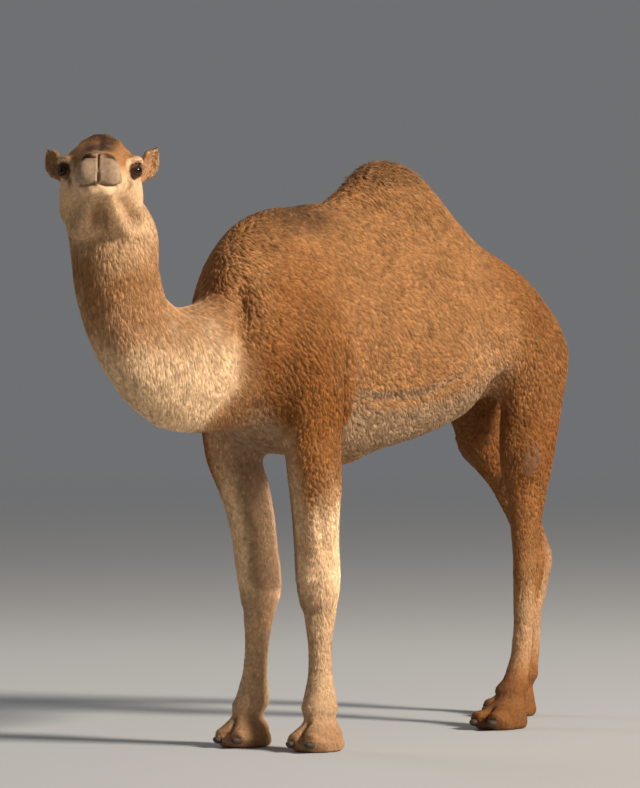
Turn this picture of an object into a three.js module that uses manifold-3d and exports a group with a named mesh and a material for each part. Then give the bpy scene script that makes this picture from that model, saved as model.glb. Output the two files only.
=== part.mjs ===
// A standing dromedary, life size, as closed solids in millimetres: +Z up, facing -Y, its left side
// towards +X, on the floor at z = 0. Each part a person would name is one mesh, and neighbours meet
// across a thin gap. Run with the packages three and manifold-3d.

import * as THREE from "three";
import { mergeVertices } from "three/addons/utils/BufferGeometryUtils.js";
import Module from "manifold-3d";

const wasm = await Module();
wasm.setup();

// ---------------------------------------------------------------- driving dimensions

const GAP = 0.4; // clearance between neighbouring solids
const SOLE = 0; // level of the floor under the feet
const HEAD_TURN = 37; // degrees the face is turned to the animal's left
const HEAD_PITCH = 6; // degrees the nose is lifted
const HEAD_ROOT = [-150, -1405, 1925]; // middle of the skull, above the neck
const BALL_SIDES = 12; // facets round a large rounded part, such as the chest pad
const SMALL_SIDES = 6; // facets round a small one, such as a nail
const EYE = { radius: 22, sides: 10, u: 238, v: 113, w: 8 }; // in the head's own frame: forward, left, up
const EAR = { u: 30, v: 157, w: 54, long: 70, wide: 37, thick: 18, sides: 9 };
const CARPUS = 548; // height of the split between forearm and cannon
const HOCK = 560; // height of the split between hind shank and cannon
const FETLOCK = 172; // height where a leg ends and its foot begins
const TOE = { wide: 41, long: 68, high: 38, lift: 33, spread: 40 };
const CLEFT = { wide: 6, long: 44, high: 60, lift: 52 };
const NAIL = { wide: 15, long: 22, high: 14, lift: 27, inset: 6 };
const TAIL_TUFT = 1150; // height where the long hair of the tail begins

const COAT = { body: 0xbd8a58, warm: 0xa9743f, pale: 0xd9b184, dark: 0x5b4231 };
const SKINS = {
  coat: { color: COAT.body, roughness: 0.9 },
  shoulder: { color: COAT.warm, roughness: 0.9 },
  pale: { color: COAT.pale, roughness: 0.9 },
  tuft: { color: COAT.dark, roughness: 0.9 },
  pad: { color: 0x8a6a50, roughness: 0.85 },
  eye: { color: 0x140d08, roughness: 0.12 },
  nail: { color: 0x4c3d31, roughness: 0.55 },
};

// ---------------------------------------------------------------- small tools

const radians = THREE.MathUtils.degToRad;
const unit = (vector) => new THREE.Vector3(...vector).normalize();

// Smooth values between hand-placed stations. Each station is a row in the order of fields, and the
// result maps 0..1 along the stations to an object with those fields.
function track(fields, rows) {
  const spans = [0];
  for (let i = 1; i < rows.length; i++) {
    const step = Math.hypot(...rows[i].map((value, k) => value - rows[i - 1][k]));
    spans.push(spans[i - 1] + Math.sqrt(step));
  }
  const curve = new THREE.CubicInterpolant(spans, rows.flat(), fields.length);
  return (t) => {
    const values = curve.evaluate(t * spans.at(-1));
    return Object.fromEntries(fields.map((name, k) => [name, values[k]]));
  };
}

// The share along a track at which one of its falling or rising fields reaches a value.
function reach(path, field, value) {
  let [low, high] = [0, 1];
  const rising = path(1)[field] > path(0)[field];
  for (let i = 0; i < 40; i++) {
    const half = (low + high) / 2;
    if (path(half)[field] < value === rising) low = half;
    else high = half;
  }
  return (low + high) / 2;
}

const power = (value, n) => Math.sign(value) * Math.abs(value) ** (2 / n);

// A closed body through rings of points that all run the same way round.
function loft(rings) {
  const sides = rings[0].length;
  const centre = (ring) =>
    ring.reduce((sum, p) => sum.add(p), new THREE.Vector3()).divideScalar(sides);
  const points = [...rings.flat(), centre(rings[0]), centre(rings.at(-1))];
  const [first, last] = [points.length - 2, points.length - 1];
  const faces = [];
  for (let r = 0; r + 1 < rings.length; r++) {
    for (let s = 0; s < sides; s++) {
      const [a, b] = [r * sides + s, r * sides + ((s + 1) % sides)];
      faces.push(a, b, b + sides, a, b + sides, a + sides);
    }
  }
  const top = (rings.length - 1) * sides;
  for (let s = 0; s < sides; s++) {
    const next = (s + 1) % sides;
    faces.push(first, next, s, last, top + s, top + next);
  }
  const geometry = new THREE.BufferGeometry().setFromPoints(points);
  geometry.setIndex(faces);
  return geometry;
}

// A closed geometry as a solid that can be cut and joined, turned outside in where it needs it.
function solid(geometry) {
  const bare = new THREE.BufferGeometry();
  bare.setAttribute("position", geometry.getAttribute("position"));
  if (geometry.index) bare.setIndex(geometry.index);
  const merged = mergeVertices(bare, 1e-3);
  const vertProperties = merged.attributes.position.array;
  const build = (triVerts) =>
    new wasm.Manifold(new wasm.Mesh({ numProp: 3, vertProperties, triVerts }));
  const made = build(new Uint32Array(merged.index.array));
  return made.volume() > 0 ? made : build(new Uint32Array(merged.index.array).reverse());
}

function geometryOf(body) {
  const { vertProperties, triVerts, numProp } = body.getMesh();
  const points = [];
  for (let i = 0; i < vertProperties.length; i += numProp) {
    points.push(new THREE.Vector3(...vertProperties.subarray(i, i + 3)));
  }
  const geometry = new THREE.BufferGeometry().setFromPoints(points);
  geometry.setIndex([...triVerts]);
  geometry.computeVertexNormals();
  return geometry;
}

// The largest connected body of a cut, which drops crumbs left at its edge.
const whole = (body) => body.decompose().sort((a, b) => b.volume() - a.volume())[0];

const group = new THREE.Group();

function add(name, body, skin) {
  const mesh = new THREE.Mesh(geometryOf(body), new THREE.MeshStandardMaterial(SKINS[skin]));
  mesh.name = name;
  group.add(mesh);
}

// An ellipsoid of the given half sizes, placed by a matrix.
function ellipsoid(halves, matrix, detail = SMALL_SIDES) {
  const ball = new THREE.SphereGeometry(1, detail, Math.round(detail * 0.7));
  return solid(ball.scale(...halves).applyMatrix4(matrix));
}

const placed = (place, angles = [0, 0, 0]) => {
  const turn = new THREE.Matrix4().makeRotationFromEuler(new THREE.Euler(...angles.map(radians)));
  return new THREE.Matrix4().makeTranslation(...place).multiply(turn);
};

// A cutter on one side of a plane through point, towards normal, big enough for the whole animal.
function halfSpace(point, normal) {
  const size = 8000;
  const box = new THREE.BoxGeometry(size, size, size).translate(0, 0, size / 2);
  const turn = new THREE.Quaternion().setFromUnitVectors(
    new THREE.Vector3(0, 0, 1),
    unit(normal),
  );
  return solid(box.applyQuaternion(turn).translate(...point));
}

// ---------------------------------------------------------------- rings

// A ring across the trunk or the head: its top, underside, half width and the height where it is
// widest. The exponents go from 1.2, a ridge, through 2, an ellipse, to 3, nearly a box.
function crossRing(row, sides, grow, place) {
  return Array.from({ length: sides }, (_, i) => {
    const angle = (2 * Math.PI * i) / sides;
    const up = Math.sin(angle) >= 0;
    const n = up ? row.upper : row.lower;
    const reachUp = (up ? row.top - row.mid : row.mid - row.bottom) + grow;
    const across = (row.half + grow) * power(Math.cos(angle), n);
    return place(across, row.mid + reachUp * power(Math.sin(angle), n));
  });
}

// A level ring round a leg. side is 1 for the animal's left and -1 for its right.
function levelRing({ z, x, y, wide, deep, square }, sides, grow, side) {
  return Array.from({ length: sides }, (_, i) => {
    const angle = (2 * Math.PI * i) / sides;
    const across = (wide + grow) * power(Math.cos(angle), square);
    const along = (deep + grow) * power(Math.sin(angle), square);
    return new THREE.Vector3(side * (x + across), y + along, z);
  });
}

// ---------------------------------------------------------------- trunk and hump

const trunkPath = track(
  ["y", "top", "bottom", "half", "mid", "upper", "lower"],
  [
    [-1012, 1510, 1240, 40, 1370, 2, 2],
    [-1000, 1596, 1190, 100, 1375, 2, 2],
    [-960, 1684, 1138, 150, 1370, 1.9, 2],
    [-905, 1750, 1098, 182, 1360, 1.9, 2],
    [-840, 1804, 1064, 208, 1350, 1.85, 2],
    [-760, 1838, 1030, 226, 1350, 1.8, 2],
    [-680, 1858, 1008, 237, 1350, 1.75, 1.9],
    [-590, 1864, 992, 244, 1350, 1.7, 1.9],
    [-480, 1874, 984, 254, 1350, 1.65, 1.9],
    [-380, 1884, 974, 264, 1340, 1.6, 2],
    [-318, 1896, 974, 272, 1330, 1.56, 2],
    [-262, 1926, 978, 280, 1322, 1.5, 2.1],
    [-196, 1968, 988, 290, 1318, 1.45, 2.1],
    [-120, 2020, 1000, 300, 1318, 1.42, 2.1],
    [-50, 2041, 1012, 305, 1320, 1.4, 2.1],
    [40, 2037, 1028, 307, 1324, 1.38, 2.1],
    [110, 2021, 1042, 306, 1328, 1.38, 2.1],
    [180, 1994, 1060, 303, 1334, 1.38, 2.1],
    [250, 1952, 1080, 296, 1345, 1.39, 2.1],
    [320, 1898, 1104, 284, 1360, 1.42, 2.1],
    [400, 1836, 1132, 266, 1382, 1.5, 2],
    [480, 1772, 1156, 250, 1400, 1.65, 2],
    [560, 1728, 1176, 242, 1410, 1.78, 2],
    [650, 1697, 1188, 236, 1410, 1.82, 2],
    [735, 1658, 1198, 222, 1405, 1.82, 2],
    [812, 1600, 1206, 196, 1395, 1.86, 2.1],
    [868, 1518, 1222, 158, 1375, 1.95, 2.1],
    [898, 1440, 1262, 96, 1350, 2, 2],
    [905, 1380, 1300, 40, 1340, 2, 2],
  ],
);
const TRUNK = { sides: 20, rings: 25 };

function trunkLoft(grow = 0) {
  const rings = Array.from({ length: TRUNK.rings + 1 }, (_, i) => {
    const row = trunkPath(i / TRUNK.rings);
    const y = row.y + grow * (2 * (i / TRUNK.rings) - 1);
    return crossRing(row, TRUNK.sides, grow, (x, z) => new THREE.Vector3(x, y, z));
  });
  return solid(loft(rings));
}

// The plane along which the hump stands on the back, from its front foot to its rear foot.
const HUMP_FRONT = { y: -300, z: 1868 };
const HUMP_REAR = { y: 530, z: 1730 };
const humpNormal = [0, HUMP_FRONT.z - HUMP_REAR.z, HUMP_REAR.y - HUMP_FRONT.y];

// The horny pad under the breast that a kneeling camel rests on.
const chestPad = () => ellipsoid([84, 122, 42], placed([0, -282, 1000], [4, 0, 0]), BALL_SIDES);

// ---------------------------------------------------------------- neck

// Each station is a centre, the half width, the reach to the nape and to the throat, and how far
// the section is turned towards the side the face looks to.
const neckPath = track(
  ["x", "y", "z", "half", "nape", "throat", "turn"],
  [
    [0, -760, 1345, 158, 225, 240, 0],
    [0, -900, 1332, 158, 222, 242, 0],
    [-2, -1040, 1322, 158, 222, 240, 0],
    [-16, -1168, 1334, 157, 199, 251, 2],
    [-48, -1280, 1398, 150, 176, 226, 5],
    [-86, -1348, 1500, 150, 160, 200, 9],
    [-110, -1376, 1612, 152, 150, 180, 14],
    [-120, -1384, 1722, 146, 142, 166, 20],
    [-130, -1392, 1822, 134, 126, 148, 28],
    [-142, -1400, 1905, 108, 98, 116, 34],
  ],
);
// The splits across the neck: where each passes and the way it faces, up along the neck.
const NECK_SPLITS = [
  { at: [0, -1150, 1330], aim: [-0.1, -1, 0.2] },
  { at: [-100, -1365, 1560], aim: [-0.15, -0.15, 1] },
];
const NECK = { sides: 14, rings: 14 };

function neckLoft(grow = 0) {
  const ahead = 1e-3;
  const rings = Array.from({ length: NECK.rings + 1 }, (_, i) => {
    const t = i / NECK.rings;
    const row = neckPath(t);
    const [a, b] = [neckPath(Math.max(t - ahead, 0)), neckPath(Math.min(t + ahead, 1))];
    const tangent = new THREE.Vector3(b.x - a.x, b.y - a.y, b.z - a.z).normalize();
    const turn = radians(row.turn);
    const left = new THREE.Vector3(Math.cos(turn), Math.sin(turn), 0);
    const nape = new THREE.Vector3().crossVectors(tangent, left).normalize();
    return Array.from({ length: NECK.sides }, (_, k) => {
      const angle = (2 * Math.PI * k) / NECK.sides;
      const depth = (Math.sin(angle) > 0 ? row.nape : row.throat) + grow;
      return new THREE.Vector3(row.x, row.y, row.z)
        .addScaledVector(left, (row.half + grow) * Math.cos(angle))
        .addScaledVector(nape, depth * Math.sin(angle));
    });
  });
  return solid(loft(rings));
}

// ---------------------------------------------------------------- head

// The head's own frame: u forward along the face, v to the animal's left, w up.
const headMatrix = (() => {
  const [turn, pitch] = [radians(HEAD_TURN), radians(HEAD_PITCH)];
  const level = new THREE.Vector3(Math.sin(turn), -Math.cos(turn), 0);
  const left = new THREE.Vector3(Math.cos(turn), Math.sin(turn), 0);
  const forward = level.clone().multiplyScalar(Math.cos(pitch)).setZ(Math.sin(pitch));
  const up = new THREE.Vector3().crossVectors(forward, left);
  return new THREE.Matrix4().makeBasis(forward, left, up).setPosition(...HEAD_ROOT);
})();
const inHead = (u, v, w) => new THREE.Vector3(u, v, w).applyMatrix4(headMatrix);

const headPath = track(
  ["u", "top", "bottom", "half", "mid", "upper", "lower"],
  [
    [-62, 40, -60, 40, -10, 2, 2],
    [-52, 84, -120, 80, -16, 2, 2],
    [-22, 122, -166, 108, -24, 1.9, 2.4],
    [22, 144, -200, 126, -34, 1.8, 3.2],
    [70, 153, -214, 133, -34, 1.8, 3.4],
    [120, 150, -206, 136, -22, 1.8, 3],
    [170, 136, -182, 134, -4, 1.9, 2.3],
    [220, 114, -166, 126, 6, 2.2, 2],
    [265, 93, -150, 108, -6, 2.3, 2],
    [312, 76, -137, 90, -22, 2.2, 2],
    [360, 64, -126, 79, -30, 2.2, 2.1],
    [405, 56, -119, 75, -30, 2.3, 2.1],
    [445, 47, -115, 76, -30, 2.4, 2.1],
    [482, 28, -106, 72, -30, 2.3, 2.1],
    [508, -2, -84, 54, -34, 2.1, 2.1],
    [518, -26, -62, 22, -42, 2, 2],
  ],
);
const HEAD = { sides: 18, rings: 18 };

// The mouth line, from under the lip back to the hinge of the jaw.
const MOUTH_FRONT = { u: 500, w: -62 };
const MOUTH_BACK = { u: 60, w: -84 };

function headLoft(grow = 0) {
  const rings = Array.from({ length: HEAD.rings + 1 }, (_, i) => {
    const row = headPath(i / HEAD.rings);
    const u = row.u + grow * (2 * (i / HEAD.rings) - 1);
    return crossRing(row, HEAD.sides, grow, (v, w) => inHead(u, v, w));
  });
  return solid(loft(rings));
}

const inHeadFrame = (u, v, w, angles = [0, 0, 0]) =>
  headMatrix.clone().multiply(placed([u, v, w], angles));

// The bony brow over each eye, which gives the skull its square look from the front.
const brow = (side) =>
  ellipsoid([54, 26, 22], inHeadFrame(226, side * 114, 48, [0, 14, side * -14]), 7);

// The swollen side of the upper lip, under the nostril.
const lip = (side) => ellipsoid([46, 37, 44], inHeadFrame(462, side * 36, -14, [0, 12, 0]), 7);

// The space of the lower jaw: under the mouth line and ahead of its hinge.
function jawSpace(grow) {
  const slope = (MOUTH_FRONT.w - MOUTH_BACK.w) / (MOUTH_FRONT.u - MOUTH_BACK.u);
  const spot = (u, w) => inHead(u, 0, w).toArray();
  const aim = (u, w) => inHead(u, 0, w).sub(inHead(0, 0, 0)).toArray();
  const under = halfSpace(spot(MOUTH_BACK.u, MOUTH_BACK.w + grow), aim(slope, -1));
  const ahead = halfSpace(spot(MOUTH_BACK.u - grow, 0), aim(1, 0));
  return under.intersect(ahead);
}

// An upright cupped ear, open forwards and outwards.
function ear(side) {
  const lean = [side * -20, -8, side * 28];
  const place = inHeadFrame(EAR.u, side * EAR.v, EAR.w, lean);
  const shell = ellipsoid([EAR.thick, EAR.wide, EAR.long], place, EAR.sides);
  const cup = place.clone().multiply(placed([EAR.thick * 0.72, 0, 6]));
  return shell.subtract(ellipsoid([EAR.thick, EAR.wide * 0.74, EAR.long * 0.8], cup));
}

const eyeball = (side, grow = 0) => {
  const radius = EYE.radius + grow;
  const place = inHeadFrame(EYE.u, side * EYE.v, EYE.w, [90, 0, 0]);
  return ellipsoid([radius, radius, radius], place, EYE.sides);
};

// ---------------------------------------------------------------- legs

// Each row is a level ring: its height, centre, half width across, half depth fore and aft, and how
// square it is. x is measured outwards from the middle of the body on the leg's own side.
const LEG_FIELDS = ["z", "x", "y", "wide", "deep", "square"];
const LEG = { sides: 12, rings: 16 };

const foreRows = [
  [1720, 88, -600, 26, 56, 2],
  [1620, 118, -618, 60, 104, 2],
  [1500, 152, -640, 92, 158, 2],
  [1370, 166, -655, 110, 196, 2.1],
  [1240, 166, -655, 110, 196, 2.1],
  [1130, 168, -655, 96, 158, 2.1],
  [1060, 169, -660, 89, 130, 2.1],
  [995, 168, -654, 87, 123, 2.1],
  [925, 160, -631, 84, 118, 2.1],
  [860, 146, -608, 79, 111, 2],
  [750, 135, -591, 74, 97, 2],
  [657, 129, -577, 74, 91, 2.1],
  [605, 126, -569, 75, 90, 2.3],
  [552, 123, -562, 72, 87, 2.3],
  [504, 127, -562, 60, 73, 2.1],
  [417, 131, -562, 43, 60, 2],
  [314, 137, -568, 36, 48, 2],
  [247, 139, -572, 40, 51, 2],
  [181, 142, -578, 52, 69, 2],
  [140, 146, -586, 57, 73, 2.1],
];
const hindRows = [
  [1640, 90, 600, 30, 70, 2],
  [1560, 134, 620, 58, 120, 2],
  [1470, 160, 650, 80, 180, 2],
  [1370, 168, 672, 100, 206, 2],
  [1300, 168, 679, 104, 200, 2],
  [1230, 169, 678, 102, 178, 2],
  [1177, 170, 678, 97, 156, 2],
  [1106, 170, 668, 92, 152, 2],
  [1035, 170, 657, 86, 147, 2],
  [964, 170, 649, 78, 144, 2],
  [892, 164, 653, 66, 129, 2],
  [819, 154, 673, 54, 104, 2],
  [747, 145, 683, 47, 92, 2],
  [675, 133, 708, 43, 92, 2],
  [603, 125, 732, 46, 90, 2.1],
  [549, 122, 733, 44, 80, 2.1],
  [495, 122, 721, 40, 69, 2],
  [387, 125, 700, 34, 50, 2],
  [280, 128, 680, 33, 46, 2],
  [210, 133, 654, 40, 50, 2],
  [142, 138, 609, 47, 58, 2.1],
];
// How much further back the right hind leg stands than the left, by height.
const stepBack = track(
  ["z", "step"],
  [
    [1640, 0],
    [1500, 4],
    [1350, 40],
    [1200, 112],
    [1042, 218],
    [941, 298],
    [873, 344],
    [807, 380],
    [600, 419],
    [350, 424],
    [166, 474],
    [0, 496],
  ],
);
const stepAt = (z) => stepBack(reach(stepBack, "z", z)).step;
const hindRowsRight = hindRows.map(([z, x, y, ...shape]) => [z, x, y + stepAt(z), ...shape]);

// A whole leg, from inside the body down to the fetlock.
function legLoft(path, side, grow = 0) {
  const ankle = reach(path, "z", FETLOCK);
  const rings = Array.from({ length: LEG.rings + 1 }, (_, i) => {
    const row = path((ankle * i) / LEG.rings);
    return levelRing({ ...row, z: i ? row.z : row.z + grow }, LEG.sides, grow, side);
  });
  return solid(loft(rings));
}

// A foot is a broad flat pad with two toes, each with a nail set in its tip. toe and heel are where
// it ends, and x is its middle.
const PAD = { sides: 12, rings: 5 };

function foot(path, side, { toe, heel, x }) {
  const ankle = path(reach(path, "z", FETLOCK));
  const [front, back] = [ankle.y - ankle.deep, ankle.y + ankle.deep];
  const row = (z, wide, from, to, square, middle = x) =>
    [z, middle, (from + to) / 2, wide, (to - from) / 2, square];
  const pad = track(LEG_FIELDS, [
    row(FETLOCK - GAP, ankle.wide, front, back, ankle.square, ankle.x),
    row(135, 60, (front * 2 + toe) / 3, (back * 4 + heel) / 5, 2.1, (ankle.x + x) / 2),
    row(100, 60, (front + toe) / 2, (back * 2 + heel) / 3, 2.2),
    row(62, 73, (front + toe * 3) / 4 - 6, heel - 6, 2.3),
    row(30, 82, toe + 14, heel, 2.4),
    row(9, 82, toe + 10, heel, 2.4),
    row(SOLE, 77, toe + 16, heel - 6, 2.4),
  ]);
  const rings = Array.from({ length: PAD.rings + 1 }, (_, i) =>
    levelRing(pad(i / PAD.rings), PAD.sides, 0, side),
  );
  const toeAt = (lean, beyond, lift) =>
    placed([side * (x + lean * TOE.spread), toe + beyond, lift], [-10, 0, -side * lean * 7]);
  const toes = [-1, 1].map((lean) =>
    ellipsoid([TOE.wide, TOE.long, TOE.high], toeAt(lean, TOE.long - 10, TOE.lift)),
  );
  const nail = (lean, grow) =>
    ellipsoid(
      [NAIL.wide + grow, NAIL.long + grow, NAIL.high + grow],
      toeAt(lean, NAIL.inset, NAIL.lift),
    );
  const cleft = ellipsoid([CLEFT.wide, CLEFT.long, CLEFT.high], placed([side * x, toe, CLEFT.lift]));
  const joined = toes.reduce((sum, part) => sum.add(part), solid(loft(rings)));
  const seats = nail(-1, GAP).add(nail(1, GAP));
  const body = joined
    .subtract(cleft)
    .subtract(seats)
    .intersect(halfSpace([0, 0, SOLE], [0, 0, 1]));
  return { body: whole(body), nails: [nail(-1, 0), nail(1, 0)] };
}

// ---------------------------------------------------------------- tail

const tailPath = track(
  ["x", "y", "z", "half"],
  [
    [0, 820, 1510, 44],
    [0, 900, 1470, 38],
    [0, 935, 1400, 31],
    [-2, 948, 1300, 25],
    [-5, 950, 1190, 22],
    [-8, 948, 1110, 26],
    [-10, 944, 1040, 30],
    [-12, 940, 960, 24],
    [-13, 938, 900, 7],
  ],
);
const TAIL = { sides: 8, rings: 12 };

// The tail leaves the rump slanting back, then hangs.
function tailLoft(grow = 0) {
  const rings = Array.from({ length: TAIL.rings + 1 }, (_, i) => {
    const row = tailPath(i / TAIL.rings);
    const slope = THREE.MathUtils.smoothstep(row.z, 1380, 1500) * 0.9;
    const half = row.half + grow;
    return Array.from({ length: TAIL.sides }, (_, k) => {
      const angle = (2 * Math.PI * k) / TAIL.sides;
      const along = half * Math.sin(angle);
      const back = along * (1 - slope * 0.4) - (i ? 0 : grow);
      return new THREE.Vector3(
        row.x + half * Math.cos(angle),
        row.y + back,
        row.z + along * slope,
      );
    });
  });
  return solid(loft(rings));
}

// ---------------------------------------------------------------- assembly

const legs = [
  { name: "front_left", side: 1, rows: foreRows, sole: { toe: -716, heel: -506, x: 155 } },
  { name: "front_right", side: -1, rows: foreRows, sole: { toe: -716, heel: -506, x: 155 } },
  { name: "hind_left", side: 1, rows: hindRows, sole: { toe: 404, heel: 636, x: 144 } },
  { name: "hind_right", side: -1, rows: hindRowsRight, sole: { toe: 904, heel: 1124, x: 144 } },
];

const headWhole = [-1, 1].reduce((sum, side) => sum.add(brow(side)).add(lip(side)), headLoft());
const headGrown = headLoft(GAP);
const trunkGrown = trunkLoft(GAP);

let legsGrown;
for (const { name, side, rows, sole } of legs) {
  const path = track(LEG_FIELDS, rows);
  const joint = name.startsWith("front") ? CARPUS : HOCK;
  const skin = name.startsWith("front") ? "shoulder" : "coat";
  const leg = legLoft(path, side);
  const { body, nails } = foot(path, side, sole);
  add(`leg_${name}_upper`, leg.intersect(halfSpace([0, 0, joint + GAP], [0, 0, 1])), skin);
  add(`leg_${name}_lower`, leg.intersect(halfSpace([0, 0, joint], [0, 0, -1])), "pale");
  add(`foot_${name}`, body, "pale");
  nails.forEach((nail, k) => add(`nail_${name}_${k ? "outer" : "inner"}`, nail, "nail"));
  const grown = legLoft(path, side, GAP);
  legsGrown = legsGrown ? legsGrown.add(grown) : grown;
}

const tailWhole = tailLoft();
const barrel = trunkLoft().subtract(legsGrown);
const humpAbove = halfSpace([0, HUMP_FRONT.y, HUMP_FRONT.z], humpNormal);
const humpBelow = halfSpace([0, HUMP_FRONT.y, HUMP_FRONT.z - GAP], humpNormal.map((n) => -n));
add("hump", whole(barrel.intersect(humpAbove)), "coat");
add("trunk", whole(barrel.intersect(humpBelow).subtract(tailLoft(GAP))), "coat");
add("chest_pad", whole(chestPad().subtract(trunkGrown)), "pad");

const neckWhole = neckLoft().subtract(trunkGrown).subtract(legsGrown).subtract(headGrown);
const [ahead, above] = NECK_SPLITS.map(({ at, aim }) => ({
  beyond: halfSpace(at, aim),
  before: halfSpace(at, aim.map((n) => -n)).translate(...unit(aim).multiplyScalar(-GAP)),
}));
add("neck_base", whole(neckWhole.intersect(ahead.before)), "pale");
add("neck_middle", whole(neckWhole.intersect(ahead.beyond).intersect(above.before)), "pale");
add("neck_upper", whole(neckWhole.intersect(above.beyond)), "coat");

const eyes = [-1, 1].map((side) => eyeball(side));
const sockets = eyeball(-1, GAP).add(eyeball(1, GAP));
const face = headWhole.subtract(sockets);
add("head", whole(face.subtract(jawSpace(GAP))), "coat");
add("lower_jaw", whole(face.intersect(jawSpace(0))), "pale");
["right", "left"].forEach((name, k) => {
  add(`eye_${name}`, eyes[k], "eye");
  add(`ear_${name}`, whole(ear(2 * k - 1).subtract(headGrown)), "coat");
});

const hair = halfSpace([0, 0, TAIL_TUFT], [0, 0, -1]);
const dock = halfSpace([0, 0, TAIL_TUFT + GAP], [0, 0, 1]);
add("tail", whole(tailWhole.intersect(dock)), "coat");
add("tail_tuft", whole(tailWhole.intersect(hair)), "tuft");

// The middle of the whole model's box stands over the origin.
const box = new THREE.Box3().setFromObject(group);
const middle = box.getCenter(new THREE.Vector3());
group.position.set(-middle.x, -middle.y, -box.min.z);
group.updateMatrixWorld(true);

export default group;
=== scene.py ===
"""A standing dromedary camel, life-size: one skin, eyes, nails and a coat of mesh tufts."""

import itertools
import math

import bpy
import numpy as np
from bpy.props import FloatProperty, FloatVectorProperty, IntProperty, PointerProperty
from bpy.types import Operator, Panel, PropertyGroup
from mathutils import Matrix, Vector
from mathutils.bvhtree import BVHTree
from mathutils.kdtree import KDTree


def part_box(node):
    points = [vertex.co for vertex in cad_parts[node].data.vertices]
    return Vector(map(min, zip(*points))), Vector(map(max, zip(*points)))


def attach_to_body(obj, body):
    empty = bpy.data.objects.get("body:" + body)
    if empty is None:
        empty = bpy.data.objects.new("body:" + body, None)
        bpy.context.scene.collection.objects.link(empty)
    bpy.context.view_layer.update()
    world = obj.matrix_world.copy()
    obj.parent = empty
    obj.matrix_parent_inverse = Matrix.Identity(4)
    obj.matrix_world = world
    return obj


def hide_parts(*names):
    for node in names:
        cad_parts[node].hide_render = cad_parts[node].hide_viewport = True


bl_info = {
    "name": "Camel dresser",
    "version": (1, 0, 0),
    "blender": (4, 5, 0),
    "location": "View3D > Sidebar > Camel",
    "description": "Dresses the solids of a standing camel with skin, eyes, nails and a woolly coat",
    "category": "Object",
}

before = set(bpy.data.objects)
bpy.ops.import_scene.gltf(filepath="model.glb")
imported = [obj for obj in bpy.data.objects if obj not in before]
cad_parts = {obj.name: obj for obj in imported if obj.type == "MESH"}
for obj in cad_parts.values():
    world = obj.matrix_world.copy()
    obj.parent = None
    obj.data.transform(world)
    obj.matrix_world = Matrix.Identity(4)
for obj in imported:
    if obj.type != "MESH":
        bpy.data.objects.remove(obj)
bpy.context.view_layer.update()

# ------------------------------------------------------------------ landmarks

LEGS = ("front_left", "front_right", "hind_left", "hind_right")
SIDES = (("left", 1.0), ("right", -1.0))

# The zones of the body: the solids of each, how far its facets are smoothed, how deep its coat is.
ZONES = {
    "trunk": (["trunk"], 1.0, 0.008),
    "hump": (["hump"], 0.8, 0.009),
    "pad": (["chest_pad"], 0.25, 0.002),
    "neck_base": (["neck_base"], 0.55, 0.009),
    "neck": (["neck_middle"], 0.5, 0.009),
    "nape": (["neck_upper"], 0.4, 0.009),
    "head": (["head"], 0.07, 0.0035),
    "jaw": (["lower_jaw"], 0.07, 0.0035),
    "ear": (["ear_left", "ear_right"], 0.03, 0.004),
    "tail": (["tail"], 0.05, 0.006),
    "arm": (["leg_front_left_upper", "leg_front_right_upper"], 0.4, 0.005),
    "thigh": (["leg_hind_left_upper", "leg_hind_right_upper"], 0.4, 0.005),
    "shin": ([f"leg_{leg}_lower" for leg in LEGS], 0.05, 0.002),
    "foot": ([f"foot_{leg}" for leg in LEGS], 0.04, 0.002),
}
SOLIDS, SMOOTH, DEPTH = 0, 1, 2  # the fields of a zone
ZONE_NAMES = list(ZONES)
FLESH = [node for zone in ZONES.values() for node in zone[SOLIDS]]


def corner(node):
    low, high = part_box(node)
    return np.array(low), np.array(high)


def centre(node):
    low, high = corner(node)
    return (low + high) / 2


def half_size(node):
    low, high = corner(node)
    return (high - low) / 2


def unit(vector):
    vector = np.asarray(vector, float)
    return vector / np.linalg.norm(vector, axis=-1, keepdims=True)


def along_skin(vectors, normals):
    """The part of each vector that lies along the skin."""
    return vectors - normals * (vectors * normals).sum(1)[:, None]


class HeadFrame:
    """Places in the head, from the middle of the skull.

    u goes forward along the face, v to the animal's left and w up.
    """

    pitch = math.radians(6)
    eye = np.array([0.238, 0.113, 0.008])  # where the left eye's centre is

    def __init__(self):
        left_eye, right_eye = centre("eye_left"), centre("eye_right")
        self.left = unit((left_eye - right_eye) * [1, 1, 0])
        level = np.cross(self.left, [0, 0, 1])
        self.forward = level * math.cos(self.pitch) + np.array([0, 0, math.sin(self.pitch)])
        self.up = np.cross(self.forward, self.left)
        self.axes = np.array([self.forward, self.left, self.up])
        self.root = (left_eye + right_eye) / 2 - self.eye * [1, 0, 1] @ self.axes

    def place(self, u, v, w):
        return self.root + np.array([u, v, w]) @ self.axes

    def line(self, side, *spots):
        """Several places, with each v counted outwards on one side."""
        return [self.place(u, side * v, w) for u, v, w in spots]

    def local(self, points):
        return (points - self.root) @ self.axes.T


HEAD = HeadFrame()
EYE_RADIUS = float(half_size("eye_left")[2])
FORE_Y = float(centre("leg_front_left_lower")[1])  # middle of the forelegs, fore and aft
FORE_END = FORE_Y + 0.3  # further back, a leg is a hind leg
KNEE_Z = float(corner("leg_front_left_lower")[1][2])
HOCK_Z = float(corner("leg_hind_left_lower")[1][2])
HUMP_TOP = float(corner("hump")[1][2])
RUMP_Y = float(corner("trunk")[1][1])
CHEST_Y = float(corner("trunk")[0][1])


# ------------------------------------------------------------------ numbers


def ramp(value, start, end):
    """0 before start, 1 after end, smooth between; start may be the larger."""
    t = np.clip((value - start) / (end - start), 0, 1)
    return t * t * (3 - 2 * t)


def hill(value, middle, reach):
    """1 at the middle, falling to 0 at reach on both sides."""
    return np.clip(1 - ((value - middle) / reach) ** 2, 0, 1) ** 2


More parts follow.
